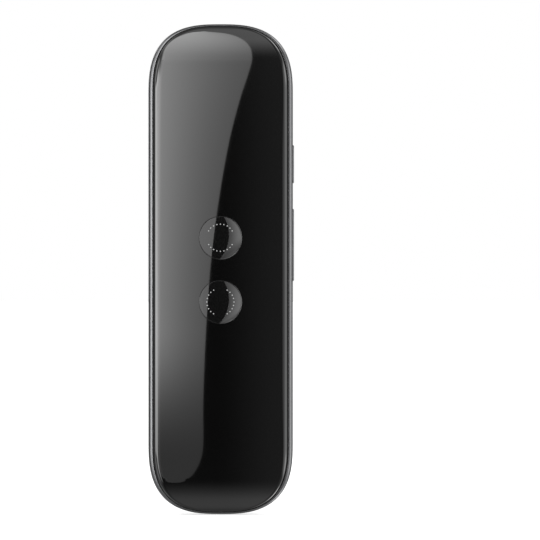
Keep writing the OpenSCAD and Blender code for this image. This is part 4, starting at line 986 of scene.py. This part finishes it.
def build_light_card():
    """Card behind the camera, shaped so that its mirror image in the panel has the outline above: a grid
    of places inside that outline, with more rows towards its ends and columns towards its left edge, is
    followed from the camera to the panel and on by the mirror law, to a sphere round the part."""
    left, right = smooth_curve(GLOW_LEFT), smooth_curve(GLOW_RIGHT)
    bottom, top = left[0, 1], left[-1, 1]
    end_rows, side_rows, columns = 31, 601, 49
    bent, t = PANEL[1] - END_BEND, np.linspace(0, 1, end_rows)
    middle = np.linspace(-bent, bent, side_rows)[1:-1]
    z = np.concatenate([bottom + (-bent - bottom) * t**2, middle, top - (top - bent) * t[::-1] ** 2])
    x_left = np.interp(z, left[:, 1], left[:, 0])
    x_right = np.interp(z, right[:, 1], right[:, 0])
    across = np.linspace(0, 1, columns) ** 1.6
    x = x_left[:, None] + (x_right - x_left)[:, None] * across
    z = np.broadcast_to(z[:, None], x.shape)
    y = panel_depth(x, z)
    nudge = 0.02
    slope_x = (panel_depth(x + nudge, z) - panel_depth(x - nudge, z)) / (2 * nudge)
    slope_z = (panel_depth(x, z + nudge) - panel_depth(x, z - nudge)) / (2 * nudge)
    normal = xyz(slope_x, -1.0, slope_z)
    normal /= np.linalg.norm(normal, axis=-1, keepdims=True)
    spot = xyz(x, y, z)
    ray = spot - np.array([CAMERA_X, FRONT_Y - distance, CAMERA_Z])
    ray /= np.linalg.norm(ray, axis=-1, keepdims=True)
    bounce = ray - 2 * (ray * normal).sum(-1, keepdims=True) * normal
    along = (spot * bounce).sum(-1, keepdims=True)
    run = -along + np.sqrt(along**2 - (spot**2).sum(-1, keepdims=True) + CARD_DISTANCE**2)
    skin = Skin()
    skin.grid(skin.add(spot + run * bounce))
    glow = from_display(card_level(across, z)) / PANEL_MIRROR
    quads = np.concatenate(skin.faces)
    mesh = bpy.data.meshes.new("tall_light")
    mesh.from_pydata((skin.points * MM).tolist(), [], quads.tolist())
    mesh.attributes.new("glow", "FLOAT", "POINT").data.foreach_set("value", glow.astype(np.float32).ravel())
    card = new_object("tall_light", mesh)
    material = bpy.data.materials.new("tall_light")
    sheet = Sheet(material)
    strength = sheet.node("ShaderNodeAttribute", {"attribute_name": "glow"}, out="Fac")
    light = sheet.node("ShaderNodeEmission", None, {"Color": (1, 1, 1, 1), "Strength": strength})
    sheet.node("ShaderNodeOutputMaterial", None, {"Surface": light})
    mesh.materials.append(material)
    card.visible_camera = False
    card.visible_diffuse = False
    card.visible_shadow = False


def build_world():
    """White to the camera and even light for dull surfaces. What shines sees a studio instead: a dark
    middle in front, tall soft lights at both sides, bright corners, and the white backdrop behind.
    The camera's side of the part is ahead. Turn is the angle from there, side and lift say which way
    it goes (x and z of a circle), yaw is the angle to the side and climb the angle up, in degrees."""
    world = bpy.data.worlds.new("studio")
    bpy.context.scene.world = world
    sheet = Sheet(world)
    way = sheet.node("ShaderNodeTexCoord", out="Generated")
    split = sheet.node("ShaderNodeSeparateXYZ", None, {0: way}).socket.node
    x, y, z = (Wire(sheet, split.outputs[i]) for i in range(3))
    ahead = -y
    off = (x * x + z * z).sqrt() + 0.00001
    turn = off.angle(ahead)
    side, lift = x / off, z / off
    yaw = x.angle(ahead)
    climb = z.angle((x * x + y * y).sqrt())
    steep = abs(climb)
    # The dim room, then what lies above, below and close to straight ahead
    glow = 0.035 + 0.09 * yaw.rise(-1.0, 0.3) * (1.0 - turn.rise(20.0, 50.0))
    glow = glow + 0.2 * turn.rise(16.0, 44.0) - 0.08 * turn.rise(82.0, 108.0) - 0.12 * turn.rise(155.0, 168.0)
    up, down = lift.rise(0.7, 1.0), (-lift).rise(0.75, 1.0)
    over = 0.88 * turn.rise(3.0, 15.5) - 0.75 * turn.rise(24.0, 60.0) - 0.1 * turn.rise(82.0, 108.0)
    glow += up * over
    under = 0.45 * turn.rise(3.0, 17.0) - 0.35 * turn.rise(20.0, 44.0) - 0.1 * turn.rise(82.0, 108.0)
    glow += down * under
    glow += 1.1 * yaw.rise(0.28, 0.6) * (1.0 - yaw.rise(4.0, 6.0)) * (1.0 - steep.rise(1.8, 3.2))
    near_left = 0.45 + 1.0 * (-yaw).rise(2.0, 6.8)
    near_left = near_left * (-yaw).rise(2.0, 2.1) * (1.0 - turn.rise(14.0, 30.0))
    near_left = near_left * (1.0 - 0.5 * climb.rise(0.9, 2.6)) * (1.0 - 0.3 * (-climb).rise(0.9, 2.6))
    glow += near_left * (1.0 - steep.rise(3.2, 5.0))
    # The right side, and the narrow lights on the left that draw the lines on the panel's rolled edge
    far = 0.55 * turn.rise(6.0, 18.0) + 0.4 * turn.rise(24.0, 50.0) + 0.45 * turn.rise(50.0, 65.0)
    glow += side.rise(0.93, 0.99) * (far - 1.15 * turn.rise(88.0, 112.0))
    near_strip = climb.rise(-9.0, -6.0) * (1.0 - climb.rise(9.0, 13.0)) * turn.band(7.4, 9.0, 20.0, 27.0)
    slim_strip = climb.rise(-6.0, -3.8) * (1.0 - climb.rise(3.8, 6.0)) * turn.band(20.0, 27.0, 51.0, 78.0)
    round_strip = steep.rise(3.8, 6.0) * (1.0 - steep.rise(10.0, 15.0)) * turn.band(20.0, 27.0, 30.0, 38.0)
    left_wing = steep.rise(4.0, 7.0) * (1.0 - steep.rise(18.0, 26.0)) * turn.band(44.0, 54.0, 78.0, 92.0)
    strips = 5.6 * near_strip + 1.2 * round_strip + 4.8 * slim_strip + 1.7 * left_wing
    strips = strips * (1.0 - lift.rise(0.42, 0.56)) * (1.0 - 0.4 * (-climb).rise(0.8, 3.6))
    glow += (-side).rise(0.6, 0.85) * strips
    # The right wings, the corners and the backdrop at the rear
    wings = steep.rise(4.0, 8.0) * (1.0 - steep.rise(14.0, 24.0)) * turn.band(62.0, 78.0, 100.0, 116.0)
    glow += side.rise(0.5, 0.8) * 1.2 * wings
    corner = abs(side * lift * 2.0) * (0.62 + 0.38 * side.rise(-0.3, 0.3))
    glow += corner.rise(0.3, 0.8) * 0.7 * turn.band(80.0, 92.0, 118.0, 134.0)
    glow += corner.rise(0.86, 1.0) * 1.8 * turn.band(84.0, 98.0, 125.0, 140.0)
    rear = 0.7 * (1.0 - turn.rise(168.0, 180.0)) + 1.5 * (1.0 - turn.rise(150.0, 168.0))
    glow += (-side).rise(0.5, 0.8) * rear * turn.rise(135.0, 150.0)
    path = sheet.node("ShaderNodeLightPath", out="Is Glossy Ray")
    seen = Wire(sheet, path.socket.node.outputs["Is Camera Ray"])
    through = Wire(sheet, path.socket.node.outputs["Is Transmission Ray"])
    shiny = path * (1.0 - seen) * (1.0 - through)
    strength = shiny * glow + (1.0 - shiny) * 1.0
    light = sheet.node("ShaderNodeBackground", None, {"Color": (1, 1, 1, 1), "Strength": strength})
    sheet.node("ShaderNodeOutputWorld", None, {"Surface": light})


build_light_card()
build_world()
